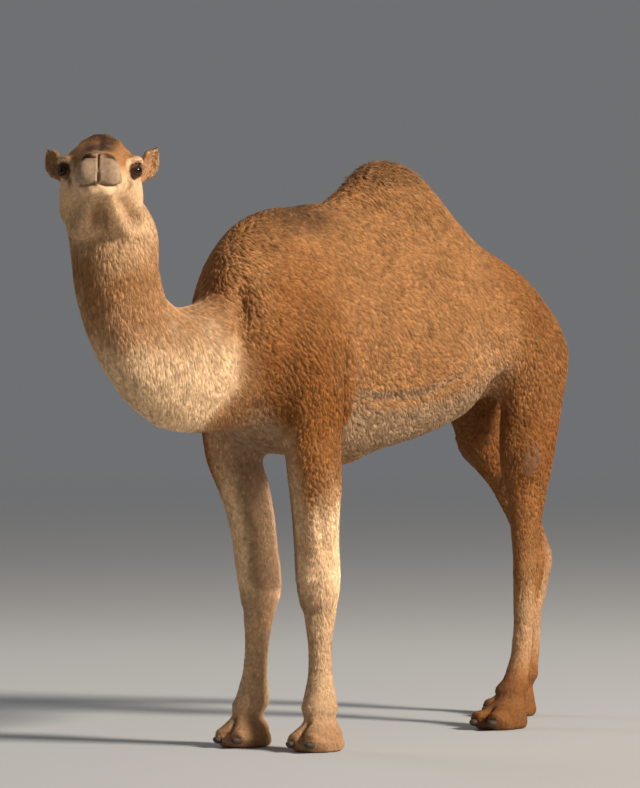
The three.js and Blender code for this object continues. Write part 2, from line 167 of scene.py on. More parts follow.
def cell_keys(cells):
    """One number for each cell of a grid."""
    return cells[:, 0] * 73856093 ^ cells[:, 1] * 19349663 ^ cells[:, 2] * 83492791


def flutter(points, size, seed):
    """Smooth noise from -1 to 1 that changes over about the given size."""
    table = np.random.default_rng(seed).uniform(-1, 1, 4096)
    spot = points / size
    cell = np.floor(spot).astype(np.int64)
    t = spot - cell
    t = t * t * (3 - 2 * t)
    total = np.zeros(len(points))
    for step in itertools.product((0, 1), repeat=3):
        near = np.abs(1 - np.array(step) - t)
        total += near[:, 0] * near[:, 1] * near[:, 2] * table[cell_keys(cell + step) & 4095]
    return total


def drift(points, size, seed):
    """Three-way smooth noise, for turning a direction."""
    return np.stack([flutter(points, size, seed + axis) for axis in range(3)], 1)


def spline(points, steps=24):
    """A smooth line through a few points."""
    points = np.array(points, float)
    t = np.linspace(0, len(points) - 1, steps)
    padded = np.vstack([2 * points[0] - points[1], points, 2 * points[-1] - points[-2]])
    i = np.minimum(t.astype(int), len(points) - 2)
    f = (t - i)[:, None]
    a, b, c, d = (padded[i + k] for k in range(4))
    square, cube = 2 * a - 5 * b + 4 * c - d, 3 * b - a - 3 * c + d
    return 0.5 * (2 * b + (c - a) * f + square * f**2 + cube * f**3)


# ------------------------------------------------------------------ settings


def colour(name, words, value):
    return FloatVectorProperty(
        name=name, description=words, default=value, size=3, min=0, max=1, subtype="COLOR"
    )


def length(name, words, value, low=0.0005, high=0.5):
    return FloatProperty(
        name=name,
        description=words,
        default=value,
        min=low,
        max=high,
        subtype="DISTANCE",
        unit="LENGTH",
    )


class CamelSkin(PropertyGroup):
    voxel: length("Skin grain", "Size of the skin's faces on the barrel", 0.0189)
    overlap: length("Overlap", "How far the solids are grown so that their gaps close", 0.0007)
    smoothing: IntProperty(
        name="Smoothing", description="Rounds of smoothing that take the facets out", default=40, min=0
    )


class CamelCoat(PropertyGroup):
    body_spacing: length("Body spacing", "Distance between the tufts of the body", 0.00445)
    neck_spacing: length("Neck spacing", "Distance between the tufts of the neck", 0.0031)
    leg_spacing: length("Leg spacing", "Distance between the tufts of the legs", 0.0049)
    head_spacing: length("Head spacing", "Distance between the tufts of the head", 0.0024)
    seed: IntProperty(name="Seed", description="Seed of every random choice in the coat", default=11)


class CamelColours(PropertyGroup):
    tan: colour("Tan", "Coat of the barrel", (0.372, 0.172, 0.063))
    pale: colour("Cream", "Throat, lower neck, cheeks and lower legs", (0.84, 0.545, 0.305))
    chestnut: colour("Chestnut", "Shoulders, rump and thighs", (0.285, 0.103, 0.0245))
    dark: colour("Umber", "Crest of the hump, withers, eyelids and tail tuft", (0.085, 0.042, 0.021))
    muzzle: colour("Muzzle", "Short grey-brown hair of the nose and lips", (0.36, 0.245, 0.16))
    ash: colour("Ash", "Belly and inner legs", (0.40, 0.245, 0.135))
    callus: colour("Callus", "Bare horny skin", (0.20, 0.090, 0.040))
    iris: colour("Iris", "Colour round the pupil", (0.035, 0.013, 0.006))
    nail: colour("Nail", "Horn of the nails", (0.055, 0.038, 0.026))


class CamelStage(PropertyGroup):
    eye_height: length("Camera height", "Height of the camera over the floor", 1.57, high=3.0)
    azimuth: FloatProperty(
        name="Azimuth",
        description="Direction the camera looks in",
        default=math.radians(36),
        subtype="ANGLE",
    )
    distance: length("Distance", "From the camera to the left forefoot, along the view", 18.0, high=60.0)
    lens: FloatProperty(name="Lens", description="Focal length in millimetres", default=241.8, min=10)
    key: FloatProperty(
        name="Key", description="Power of the key light", default=7250, min=0, unit="POWER"
    )
    fill: FloatProperty(name="Fill", description="Strength of the pale surround", default=0.17, min=0)
    floor: colour("Floor", "Colour of the floor", (0.5, 0.495, 0.485))

    def ways(self):
        """To the right of the view and ahead along it, both level."""
        turn = self.azimuth
        right = np.array([math.cos(turn), math.sin(turn), 0])
        return right, np.array([-math.sin(turn), math.cos(turn), 0])


# ------------------------------------------------------------------ shader maths


def arithmetic(operation, turned=False):
    """A method that adds a Math node; turned, the other term comes first."""

    def apply(self, other):
        terms = (other, self) if turned else (self, other)
        return self.sheet.add("ShaderNodeMath", {"operation": operation}, *terms)

    return apply


class Value:
    """A shader socket that takes Python arithmetic."""

    def __init__(self, sheet, socket):
        self.sheet = sheet
        self.socket = socket

    __add__ = __radd__ = arithmetic("ADD")
    __mul__ = __rmul__ = arithmetic("MULTIPLY")
    __sub__ = arithmetic("SUBTRACT")
    __rsub__ = arithmetic("SUBTRACT", turned=True)
    __truediv__ = arithmetic("DIVIDE")

    def clip(self):
        return self.sheet.add("ShaderNodeMath", {"operation": "ADD", "use_clamp": True}, self, 0.0)


class Sheet:
    """The node tree of one material."""

    def __init__(self, name):
        self.material = bpy.data.materials.new(name)
        self.material.use_nodes = True
        self.tree = self.material.node_tree
        self.tree.nodes.clear()

    def feed(self, socket, term):
        """Links a value to a socket, or sets a number or a colour on it."""
        if isinstance(term, Value):
            self.tree.links.new(term.socket, socket)
        else:
            socket.default_value = term

    def add(self, kind, settings=None, *terms, out=0, **named):
        node = self.tree.nodes.new(kind)
        for key, value in (settings or {}).items():
            setattr(node, key, value)
        for key, term in enumerate(terms):
            self.feed(node.inputs[key], term)
        for key, term in named.items():
            self.feed(node.inputs[key.replace("_", " ")], term)
        return Value(self, node.outputs[out])

    def attribute(self, name, out="Fac"):
        return self.add("ShaderNodeAttribute", {"attribute_name": name}, out=out)

    def channels(self, name):
        """The three parts of a colour attribute."""
        red = self.add("ShaderNodeSeparateColor", None, self.attribute(name, "Color"))
        return [Value(self, socket) for socket in red.socket.node.outputs]

    def place(self, **named):
        """The place on the object; with Scale, a pattern on it is stretched."""
        spot = self.add("ShaderNodeTexCoord", out="Object")
        return self.add("ShaderNodeMapping", None, spot, **named) if named else spot

    def noise(self, scale, detail=2.0, roughness=0.5, at=None):
        named = {"Scale": scale, "Detail": detail, "Roughness": roughness}
        return self.add("ShaderNodeTexNoise", None, at or self.place(), **named)

    def mix(self, share, a, b, blend="MIX"):
        node = self.tree.nodes.new("ShaderNodeMix")
        node.data_type = "RGBA"
        node.blend_type = blend
        for name, term in (("Factor_Float", share), ("A_Color", a), ("B_Color", b)):
            socket = next(s for s in node.inputs if s.identifier == name)
            self.feed(socket, term if isinstance(term, (Value, float)) else (*term, 1))
        return Value(self, next(s for s in node.outputs if s.identifier == "Result_Color"))

    def tint(self, base, amount):
        """base made lighter or darker by a value round 1."""
        grey = self.add("ShaderNodeCombineColor", None, amount, amount, amount)
        return self.mix(1.0, base, grey, "MULTIPLY")

    def bump(self, height, strength, distance):
        return self.add("ShaderNodeBump", None, Strength=strength, Distance=distance, Height=height)

    def surface(self, **sockets):
        shader = self.add("ShaderNodeBsdfPrincipled", None, **sockets)
        end = self.tree.nodes.new("ShaderNodeOutputMaterial")
        self.tree.links.new(shader.socket, end.inputs[0])
        return self.material


SURROUND = (0.94, 0.96, 1.0)  # colour of the light from all round
PUPIL_EDGE = 0.42  # share of the ring attribute at the edge of the pupil


def coat_tone(sheet, colours):
    """The camel's markings, from the masks that the skin and every tuft carry."""
    pale, chestnut, dark = sheet.channels("marks")
    muzzle, ash, callus = sheet.channels("patches")
    tone = sheet.mix(pale, colours.tan, colours.pale)
    layers = (
        (ash, colours.ash),
        (chestnut, colours.chestnut),
        (muzzle, colours.muzzle),
        (dark, colours.dark),
        (callus, colours.callus),
    )
    for mask, hue in layers:
        tone = sheet.mix(mask, tone, hue)
    mottle = sheet.noise(9.0, 3.0) * 0.36 + sheet.noise(75.0, 2.0) * 0.8
    return sheet.tint(tone, mottle + 0.42), callus


def skin_finish(colours):
    """Skin under the coat, and the short flat hair of the face and legs, which is mostly bump."""
    sheet = Sheet("skin")
    tone, callus = coat_tone(sheet, colours)
    under = sheet.attribute("cover")  # 1 where long tufts cover the skin
    streaks = sheet.noise(330.0, 3.0, 0.6, at=sheet.place(Scale=(1, 1, 0.22)))
    cracks = sheet.add("ShaderNodeTexVoronoi", {"feature": "DISTANCE_TO_EDGE"}, Scale=120.0)
    # painted shade: the skin darker where long tufts cover it
    tone = sheet.tint(tone, 0.84 + streaks * 0.32 - under * 0.16)
    normal = sheet.bump(streaks * (1 - callus) + cracks * callus * 2.2, 0.55, 0.0022)
    return sheet.surface(Normal=normal, Base_Color=tone, Roughness=0.9, Specular_IOR_Level=0.2)


def coat_finish(colours):
    """Wool: darker at the root as painted shade, lighter at the tip as the hair is, streaked with hairs,
    each tuft its own shade.
    """
    sheet = Sheet("coat")
    tone, _ = coat_tone(sheet, colours)
    tip = sheet.attribute("tip")
    shade = sheet.attribute("shade")
    hairs = sheet.noise(1.0, 1.0, 0.6, at=sheet.attribute("strand", "Vector"))
    # tip runs from the painted shade at the root to the lighter tip
    tone = sheet.tint(tone, (0.70 + tip * 0.42) * (0.69 + shade * 0.62) * (0.76 + hairs * 0.48))
    normal = sheet.bump(hairs, 0.4, 0.0012)
    return sheet.surface(Normal=normal, Base_Color=tone, Roughness=0.9, Specular_IOR_Level=0.15)


def rim_finish(colours):
    """Dark moist skin of the lid margins and lashes."""
    sheet = Sheet("lid_rim")
    grain = sheet.noise(500.0, 3.0)
    tone = sheet.tint(sheet.mix(0.12, (0.014, 0.008, 0.006), colours.callus), 0.6 + grain * 0.8)
    normal = sheet.bump(grain, 0.3, 0.0006)
    return sheet.surface(Normal=normal, Base_Color=tone, Roughness=0.6, Specular_IOR_Level=0.15)


def eye_finish(colours):
    """A wet, almost black eye with a level pupil."""
    sheet = Sheet("eye")
    ring = sheet.attribute("ring")  # 0 in the pupil, 1 at the edge of the iris, 2 and on over the white
    fibres = sheet.noise(900.0, 3.0, 0.7)
    iris = sheet.tint(colours.iris, 0.7 + fibres * 0.9)
    tone = sheet.mix(((ring - PUPIL_EDGE) * 9).clip(), (0.002, 0.0015, 0.001), iris)
    tone = sheet.mix(((ring - 0.92) * 6).clip(), tone, (0.006, 0.003, 0.002))
    tone = sheet.mix(((ring - 1.25) * 4).clip(), tone, (0.03, 0.017, 0.011))
    wet = {"Roughness": 0.1, "Specular_IOR_Level": 0.15, "Coat_Weight": 0.22, "Coat_Roughness": 0.02}
    return sheet.surface(Base_Color=tone, **wet)


def nail_finish(colours):
    """Grey-brown horn with growth rings."""
    sheet = Sheet("nail")
    rings = sheet.noise(90.0, 3.0, 0.6, at=sheet.place(Scale=(0.4, 4.0, 0.6)))
    worn = sheet.noise(240.0, 2.0)
    tone = sheet.tint(colours.nail, 0.55 + rings * 0.7 + worn * 0.3)
    normal = sheet.bump(rings + worn * 0.4, 0.4, 0.0012)
    rough = 0.55 + worn * 0.25
    return sheet.surface(Normal=normal, Base_Color=tone, Roughness=rough, Specular_IOR_Level=0.3)


def floor_finish(stage):
    """A pale floor that fades into the surround far from the animal."""
    sheet = Sheet("floor")
    away = sheet.add("ShaderNodeVectorMath", {"operation": "LENGTH"}, sheet.place(), out="Value")
    far = ((away - 5.0) / 22.0).clip()
    near = sheet.mix(far, stage.floor, (0, 0, 0))
    glow = sheet.mix(far, (0, 0, 0), [stage.fill * part for part in SURROUND])
    dull = {"Roughness": 0.95, "Specular_IOR_Level": 0.0, "Emission_Strength": 1.0}
    return sheet.surface(Base_Color=near, Emission_Color=glow, **dull)


# ------------------------------------------------------------------ making pieces


def clear_selection():
    if bpy.context.object and bpy.context.object.mode != "OBJECT":
        bpy.ops.object.mode_set(mode="OBJECT")
    bpy.ops.object.select_all(action="DESELECT")


def pick(obj):
    clear_selection()
    obj.select_set(True)
    bpy.context.view_layer.objects.active = obj


def in_edit_mode(obj, *steps):
    """Runs mesh operators, each given as a callable, on the whole of one object."""
    pick(obj)
    bpy.ops.object.mode_set(mode="EDIT")
    bpy.ops.mesh.select_all(action="SELECT")
    for step in steps:
        step()
    bpy.ops.object.mode_set(mode="OBJECT")


def modify(obj, kind, **settings):
    """Adds a modifier and applies it."""
    modifier = obj.modifiers.new(kind.title(), kind)
    for key, value in settings.items():
        setattr(modifier, key, value)
    pick(obj)
    bpy.ops.object.modifier_apply(modifier=modifier.name)


def new_object(name, data):
    """Adds an object to the scene."""
    thing = bpy.data.objects.new(name, data)
    bpy.context.scene.collection.objects.link(thing)
    return thing


def copy_of(node, name):
    """A merged copy of a solid, in place."""
    piece = new_object(name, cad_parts[node].data.copy())
    piece.data.materials.clear()
    in_edit_mode(piece, lambda: bpy.ops.mesh.remove_doubles(threshold=1e-6))
    return piece


def attach(piece, material, nodes=()):
    """Gives a finished piece its material and its place on the body."""
    piece.data.materials.clear()
    piece.data.materials.append(material)
    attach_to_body(piece, "root")
    if nodes:
        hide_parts(*nodes)
    return piece


def column(data, field, kind=np.float32, width=1):
    """Reads one field of every item."""
    values = np.empty(len(data) * width, kind)
    data.foreach_get(field, values)
    return values.reshape(-1, width) if width > 1 else values


def fill(data, field, values, kind=np.float32):
    """Writes one field of every item."""
    data.foreach_set(field, np.asarray(values).astype(kind).ravel())


def points_of(mesh):
    return column(mesh.vertices, "co", width=3).astype(float)


def move_points(mesh, points):
    fill(mesh.vertices, "co", points)
    mesh.update()


def write_attribute(mesh, name, values):
    """A value or a colour for each point of a mesh."""
    kind = "FLOAT_COLOR" if values.ndim == 2 else "FLOAT"
    layer = mesh.attributes.new(name, kind, "POINT")
    if values.ndim == 2:
        fill(layer.data, "color", np.hstack([values, np.ones((len(values), 1))]))
    else:
        fill(layer.data, "value", values)


def mesh_from_arrays(name, points, faces):
    """A mesh from point places and a list of face tables, each with one face in a row."""
    mesh = bpy.data.meshes.new(name)
    sizes = np.concatenate([np.full(len(table), table.shape[1]) for table in faces])
    corners = np.concatenate([table.ravel() for table in faces])
    mesh.vertices.add(len(points))
    fill(mesh.vertices, "co", points)
    mesh.loops.add(len(corners))
    fill(mesh.loops, "vertex_index", corners, np.int32)
    mesh.polygons.add(len(sizes))
    fill(mesh.polygons, "loop_start", np.concatenate([[0], np.cumsum(sizes)[:-1]]), np.int32)
    fill(mesh.polygons, "use_smooth", np.ones(len(sizes)), bool)
    mesh.update(calc_edges=True)
    return new_object(name, mesh), corners


class Made:
    """What one step leaves for the next."""

    pelt = None  # all that the coat needs to know of the skin
    stifles = {}  # the outer side of each stifle, by side
    filled_ears = {}  # each ear's solid with its cup filled
    finishes = {}  # each material, by name

    @classmethod
    def finish(cls, name, make):
        if name not in cls.finishes:
            cls.finishes[name] = make(bpy.context.scene.camel_colours)
        return cls.finishes[name]


# ------------------------------------------------------------------ shaping the skin


SNAP = 0.06  # how far from a line its place on the skin is looked for


class Clay:
    """The skin's points while they are pressed into shape."""

    def __init__(self, obj):
        self.obj = obj
        self.read()

    def read(self):
        mesh = self.obj.data
        self.points = points_of(mesh)
        self.edges = column(mesh.edges, "vertices", np.int32, 2)
        self.degree = np.bincount(self.edges.ravel(), minlength=len(self.points)).astype(float)
        self.normals = column(mesh.vertex_normals, "vector", width=3).astype(float)

    def settle(self):
        """Writes the points to the mesh and works the normals out again."""
        move_points(self.obj.data, self.points)
        self.normals = column(self.obj.data.vertex_normals, "vector", width=3).astype(float)

    def neighbours(self, values):
        """The mean of each point's neighbours."""
        a, b = self.edges.T
        count = len(values)
        sums = [np.bincount(a, row[b], count) + np.bincount(b, row[a], count) for row in values.T]
        return np.stack(sums, 1) / self.degree[:, None]

    def soften(self, values, share, rounds):
        """Evens values out over the skin, each point by its own share."""
        step = 0.5 * np.broadcast_to(share, len(values))[:, None]
        for _ in range(rounds):
            values = values + step * (self.neighbours(values) - values)
        return values

    def relax(self, share, rounds):
        """Smooths the points, and gives back the form that smoothing took."""
        smooth = self.soften(self.points, share, rounds)
        self.points = smooth + self.soften(self.points - smooth, share, rounds)
        self.settle()

    def swell(self, middle, reach, height, axes=None, along=None):
        """Raises a soft mound, or a hollow where the height is negative, with its edge at reach."""
        axes = np.eye(3) if axes is None else axes
        near = ((self.points - middle) @ axes.T) / reach
        fall = np.clip(1 - (near**2).sum(1), 0, 1) ** 2
        way = self.normals if along is None else along
        self.points += way * (height * fall)[:, None]

    def near(self, line, margin):
        """The points in the box round a line."""
        low, high = line.min(0) - margin, line.max(0) + margin
        return np.flatnonzero(np.all((self.points > low) & (self.points < high), 1))

    def on_skin(self, line):
        """The line drawn to the nearest points of the skin, and evened out."""
        near = self.points[self.near(line, SNAP)]
        if not len(near):
            return line
        gaps = ((line[:, None] - near[None]) ** 2).sum(2)
        line = near[gaps.argmin(1)]
        for _ in range(3):
            line[1:-1] = (line[:-2] + 2 * line[1:-1] + line[2:]) / 4
        return line

    def crease(self, line, width, depth, ends=0.15):
        """Presses a groove along a line, or raises a ridge where the depth is negative."""
        line = self.on_skin(spline(line))
        near = self.near(line, width * 3)
        points = self.points[near]
        best = np.full(len(near), 9.0)
        share = np.zeros(len(near))
        for i, (a, b) in enumerate(zip(line[:-1], line[1:])):
            span = b - a
            t = np.clip((points - a) @ span / max(span @ span, 1e-12), 0, 1)
            gap = np.linalg.norm(points - a - t[:, None] * span, axis=1)
            closer = gap < best
            best[closer] = gap[closer]
            share[closer] = (i + t[closer]) / (len(line) - 1)
        taper = ramp(share, 0, ends) * ramp(share, 1, 1 - ends)
        fall = np.exp(-((best / width) ** 2)) * (0.25 + 0.75 * taper)
        self.points[near] -= self.normals[near] * (depth * fall)[:, None]

    def mounds(self, side, *rows):
        """Mounds on the head, each with its place on one side, its reach and its height."""
        for spot, reach, height in rows:
            self.swell(HEAD.line(side, spot)[0], reach, height, HEAD.axes)


def refine(clay, chosen):
    """Cuts each chosen face in four."""
    mesh = clay.obj.data
    fill(mesh.vertices, "select", np.zeros(len(mesh.vertices)), bool)
    fill(mesh.edges, "select", np.zeros(len(mesh.edges)), bool)
    fill(mesh.polygons, "select", chosen, bool)
    pick(clay.obj)
    bpy.context.tool_settings.mesh_select_mode = (False, False, True)
    bpy.ops.object.mode_set(mode="EDIT")
    bpy.ops.mesh.subdivide(number_cuts=1)
    bpy.ops.object.mode_set(mode="OBJECT")
    clay.read()


def face_middles(mesh):
    return column(mesh.polygons, "center", width=3)


def solids_tree(hulls=False):
    """A search tree of all the flesh, and the zone of each of its faces.

    With hulls, the cups of the ears are filled.
    """
    corners, faces, owner = [], [], []
    for index, zone in enumerate(ZONES.values()):
        for node in zone[SOLIDS]:
            mesh = Made.filled_ears.get(node) if hulls else None
            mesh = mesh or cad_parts[node].data
            start = len(corners)
            corners += [v.co.copy() for v in mesh.vertices]
            faces += [[start + i for i in p.vertices] for p in mesh.polygons]
            owner += [index] * len(mesh.polygons)
    return BVHTree.FromPolygons(corners, faces), owner


def zone_shares(clay, rounds=14):
    """How much of each zone every point belongs to, from the nearest solid, softened at the borders."""
    tree, owner = solids_tree()
    shares = np.zeros((len(clay.points), len(ZONES)))
    for i, point in enumerate(clay.points):
        shares[i, owner[tree.find_nearest(Vector(point))[2]]] = 1
    for _ in range(rounds):
        shares = 0.5 * shares + 0.5 * clay.neighbours(shares)
    return shares


def shares_in(shares, *names):
    """How much of some zones together every point belongs to."""
    return shares[:, [ZONE_NAMES.index(name) for name in names]].sum(1)


def beside(side, spots, shift=(0, 0, 0)):
    """Places on one side of the animal, each with its distance from the middle first."""
    return [np.array([side * x, y, z]) + shift for x, y, z in spots]


def by_zone(shares, field):
    """One field of the zones' table at every point, blended over the borders."""
    return shares @ np.array([zone[field] for zone in ZONES.values()])


def raw_skin(settings):
    """All the flesh as one closed surface, still with its facets."""
    parts = [copy_of(node, "part") for node in FLESH]
    for part, node in zip(parts, FLESH):
        steps = [lambda: bpy.ops.transform.shrink_fatten(value=settings.overlap)]
        if node.startswith("ear"):
            in_edit_mode(part, bpy.ops.mesh.convex_hull, *steps)
            Made.filled_ears[node] = part.data.copy()
        else:
            in_edit_mode(part, *steps)
    clear_selection()
    for part in parts:
        part.select_set(True)
    bpy.context.view_layer.objects.active = parts[0]
    bpy.ops.object.join()
    skin = bpy.context.object
    skin.name = skin.data.name = "skin"
    modify(skin, "REMESH", mode="VOXEL", voxel_size=settings.voxel, adaptivity=0.0)
    return skin


def shape_muzzle(clay):
    """Two lobes with a cleft between them, the split upper lip and the mouth."""
    for _, side in SIDES:
        clay.mounds(
            side,
            ((0.485, 0.042, -0.03), (0.05, 0.042, 0.055), 0.013),
            ((0.45, 0.075, -0.05), (0.05, 0.03, 0.034), 0.007),
            ((0.46, 0.068, 0.02), (0.05, 0.03, 0.03), -0.006),
            ((0.525, 0.036, -0.02), (0.03, 0.045, 0.05), -0.004),
        )
    clay.settle()
    groove = HEAD.line(1, (0.455, 0, 0.05), (0.49, 0, 0.026), (0.52, 0, -0.02))
    split_lip = HEAD.line(1, (0.52, 0, -0.02), (0.52, 0, -0.045), (0.51, 0, -0.064))
    clay.crease(groove, 0.0038, 0.008)
    clay.crease(split_lip, 0.0048, 0.014, ends=0.4)
    clay.settle()
    mouth = [
        (0.516, 0, -0.066), (0.505, 0.03, -0.074), (0.47, 0.06, -0.070), (0.43, 0.078, -0.064),
        (0.38, 0.087, -0.062),
    ]
    for _, side in SIDES:
        clay.crease(HEAD.line(side, *mouth), 0.0062, 0.014, ends=0.1)
        clay.settle()
        clay.mounds(side, ((0.485, 0.03, -0.094), (0.05, 0.045, 0.026), 0.009))
    clay.settle()


def shape_nostrils(clay):
    """Slanting slits with a rim and a fold above them."""
    slit = [(0.488, 0.012, 0.041), (0.482, 0.026, 0.037), (0.47, 0.042, 0.031), (0.456, 0.058, 0.023)]
    rim = [(0.474, 0.012, 0.053), (0.466, 0.030, 0.050), (0.45, 0.048, 0.043), (0.438, 0.066, 0.032)]
    fold = [(0.452, 0.012, 0.063), (0.44, 0.034, 0.062), (0.424, 0.054, 0.054), (0.408, 0.070, 0.040)]
    under = [(0.502, 0.016, 0.020), (0.496, 0.034, 0.016), (0.48, 0.052, 0.010), (0.46, 0.066, 0.000)]
    for _, side in SIDES:
        clay.crease(HEAD.line(side, *slit), 0.0046, 0.022, ends=0.25)
        clay.settle()
        clay.crease(HEAD.line(side, *rim), 0.0065, -0.006, ends=0.25)
        clay.crease(HEAD.line(side, *fold), 0.0048, 0.006, ends=0.25)
        clay.crease(HEAD.line(side, *under), 0.0040, 0.0022, ends=0.3)
        clay.settle()


def shape_jaw(clay):
    """The bones of the lower jaw with a hollow between, the cheeks, chin and throat."""
    hollow = HEAD.line(1, (0.41, 0, -0.115), (0.33, 0, -0.135), (0.22, 0, -0.165), (0.12, 0, -0.185))
    clay.swell(HEAD.place(0.25, 0, -0.165), (0.18, 0.05, 0.08), 0.020, HEAD.axes, along=HEAD.up)
    clay.settle()
    clay.crease(hollow, 0.019, 0.026, ends=0.3)
    clay.settle()
    bone = [
        (0.44, 0.024, -0.108), (0.385, 0.036, -0.124), (0.31, 0.052, -0.15), (0.22, 0.070, -0.176),
        (0.14, 0.088, -0.19), (0.08, 0.102, -0.184),
    ]
    above = [(0.33, 0.092, -0.112), (0.25, 0.112, -0.128), (0.17, 0.124, -0.146), (0.1, 0.128, -0.156)]
    crest = [(0.25, 0.12, -0.034), (0.31, 0.1, -0.042), (0.38, 0.086, -0.04)]
    for _, side in SIDES:
        clay.crease(HEAD.line(side, *bone), 0.022, -0.017, ends=0.3)
        clay.settle()
        clay.crease(HEAD.line(side, *above), 0.025, 0.018, ends=0.3)
        clay.settle()
        cheek = ((0.1, 0.135, -0.08), (0.12, 0.06, 0.09), 0.009)
        corner_of_mouth = ((0.4, 0.08, -0.1), (0.06, 0.05, 0.03), -0.006)
        clay.mounds(side, cheek, corner_of_mouth)
        clay.crease(HEAD.line(side, *crest), 0.013, -0.005, ends=0.35)
    chin = ((0.49, 0, -0.1), (0.05, 0.06, 0.03), 0.009)
    throat = ((0.03, 0, -0.25), (0.14, 0.1, 0.1), 0.024)
    clay.mounds(1, chin, throat)
    clay.settle()


def shape_brow(clay):
    """The sides of the face and the hollows about the eyes, the tear duct and the bridge."""
    for _, side in SIDES:
        clay.mounds(
            side,
            ((0.25, 0.12, 0.004), (0.055, 0.05, 0.042), -0.007),
            ((0.165, 0.1, 0.1), (0.06, 0.045, 0.05), -0.012),
            ((0.33, 0.075, 0.03), (0.07, 0.035, 0.05), -0.010),
            ((0.226, 0.13, 0.07), (0.06, 0.04, 0.035), -0.012),
        )
        clay.settle()
        duct = HEAD.line(side, (0.268, 0.112, -0.016), (0.288, 0.104, -0.03), (0.315, 0.096, -0.05))
        clay.crease(duct, 0.007, 0.006)
    bridge = HEAD.line(1, (0.12, 0, 0.15), (0.22, 0, 0.115), (0.3, 0, 0.083), (0.38, 0, 0.066))
    clay.crease(bridge, 0.012, 0.005)
    clay.settle()


def eye_axes(side):
    """Out of the eye, forward along the lids, and up across them."""
    out = unit(HEAD.left * side * 0.72 + HEAD.forward * 0.69 + HEAD.up * 0.02)
    ahead = unit(HEAD.forward - out * (HEAD.forward @ out))
    up = unit(np.cross(out, ahead) * side)
    return np.array([out, ahead, up if up @ HEAD.up > 0 else -up])


def round_eye(points, name, side):
    """Where points are from an eye's centre: out of it, forward along the lids, up across them."""
    return (points - centre(f"eye_{name}")) @ eye_axes(side).T


LID = {"long": 0.0195, "high": 0.0135, "drop": 0.0020}  # half sizes of the opening between the lids


def shape_eyes(clay):
    """Wraps lids round each eyeball, under an arched brow, and opens the skin in front of it."""
    arch = [
        (-0.006, -0.041, 0.000), (0.004, -0.033, 0.020), (0.010, -0.012, 0.034),
        (0.008, 0.014, 0.038), (0.000, 0.038, 0.036),
    ]
    fold = [(-0.02, 0.008), (-0.008, 0.0205), (0.008, 0.0215), (0.022, 0.011)]
    pouch = [(-0.020, -0.014), (-0.004, -0.0235), (0.012, -0.0235), (0.024, -0.013)]
    lid_radius = EYE_RADIUS + 0.0035
    for name, side in SIDES:
        middle, axes = centre(f"eye_{name}"), eye_axes(side)
        clay.crease([middle + np.array(spot) @ axes for spot in arch], 0.0120, -0.0085, ends=0.45)
        clay.settle()
        out, along, up = round_eye(clay.points, name, side).T
        across = np.hypot(along, up)
        opening = np.hypot(along / LID["long"], (up + LID["drop"]) / LID["high"])
        front = out > -0.012
        hug = np.sqrt(np.clip(lid_radius**2 - across**2, 0, None))
        inside = np.sqrt(np.clip(EYE_RADIUS**2 - across**2, 0, None)) - 0.006
        lid = front * ramp(opening, 2.4, 1.3) * (across < lid_radius)
        target = out + (np.maximum(hug, out * 0.5) - out) * lid
        hole = front * ramp(opening, 1.03, 0.92)
        target = target + (np.minimum(inside, target) - target) * hole
        clay.points += (target - out)[:, None] * axes[0]
        clay.settle()
        for line, width in ((fold, 0.0032), (pouch, 0.0035)):
            clay.crease([middle + np.array([0.018, x, y]) @ axes for x, y in line], width, 0.003)
        clay.settle()


def ear_frame(name):
    """The middle, the axes and the half sizes of an ear.

    The axes go out of the cup, across it, and up to its tip.
    """
    points = points_of(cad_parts[f"ear_{name}"].data)
    middle = (points.min(0) + points.max(0)) / 2
    _, _, ways = np.linalg.svd(points - points.mean(0), full_matrices=False)
    tall, _, thin = ways
    tall = tall * np.sign(tall @ HEAD.up)
    thin = thin * np.sign(thin @ HEAD.forward)
    axes = np.array([thin, np.cross(tall, thin), tall])
    return middle, axes, np.ptp((points - middle) @ axes.T, 0) / 2


def shape_ears(clay, shares):
    """Presses the cup into each ear."""
    inside = shares_in(shares, "ear") > 0.2
    for name, _ in SIDES:
        middle, axes, half = ear_frame(name)
        local = (clay.points - middle) @ axes.T
        oval = np.hypot(local[:, 1] / (half[1] * 0.78), (local[:, 2] - 0.006) / (half[2] * 0.86))
        cup = inside * ramp(oval, 1.0, 0.25) * (local[:, 0] > -0.002) * (oval < 1)
        clay.points -= axes[0] * (cup * 0.014)[:, None]
    clay.settle()


def leg_middle(clay, leg, height):
    """The middle of a leg at a height, and its half widths there."""
    low, high = corner(f"leg_{leg}_lower" if height < max(KNEE_Z, HOCK_Z) else f"leg_{leg}_upper")
    x_y, z = clay.points[:, :2], clay.points[:, 2]
    inside = np.all((x_y > low[:2] - 0.01) & (x_y < high[:2] + 0.01), 1)
    ring = clay.points[inside & (np.abs(z - height) < 0.014)]
    return (ring.min(0) + ring.max(0)) / 2, np.ptp(ring, 0) / 2


def leg_creases(clay, stations, side, *rows):
    """Creases down a leg: width, depth, then stations with how far out and back in half widths."""
    for width, depth, *line in rows:
        spots = [stations[i][0] + stations[i][1] * [x * side, y, 0] for i, x, y in line]
        clay.crease(spots, width, depth)


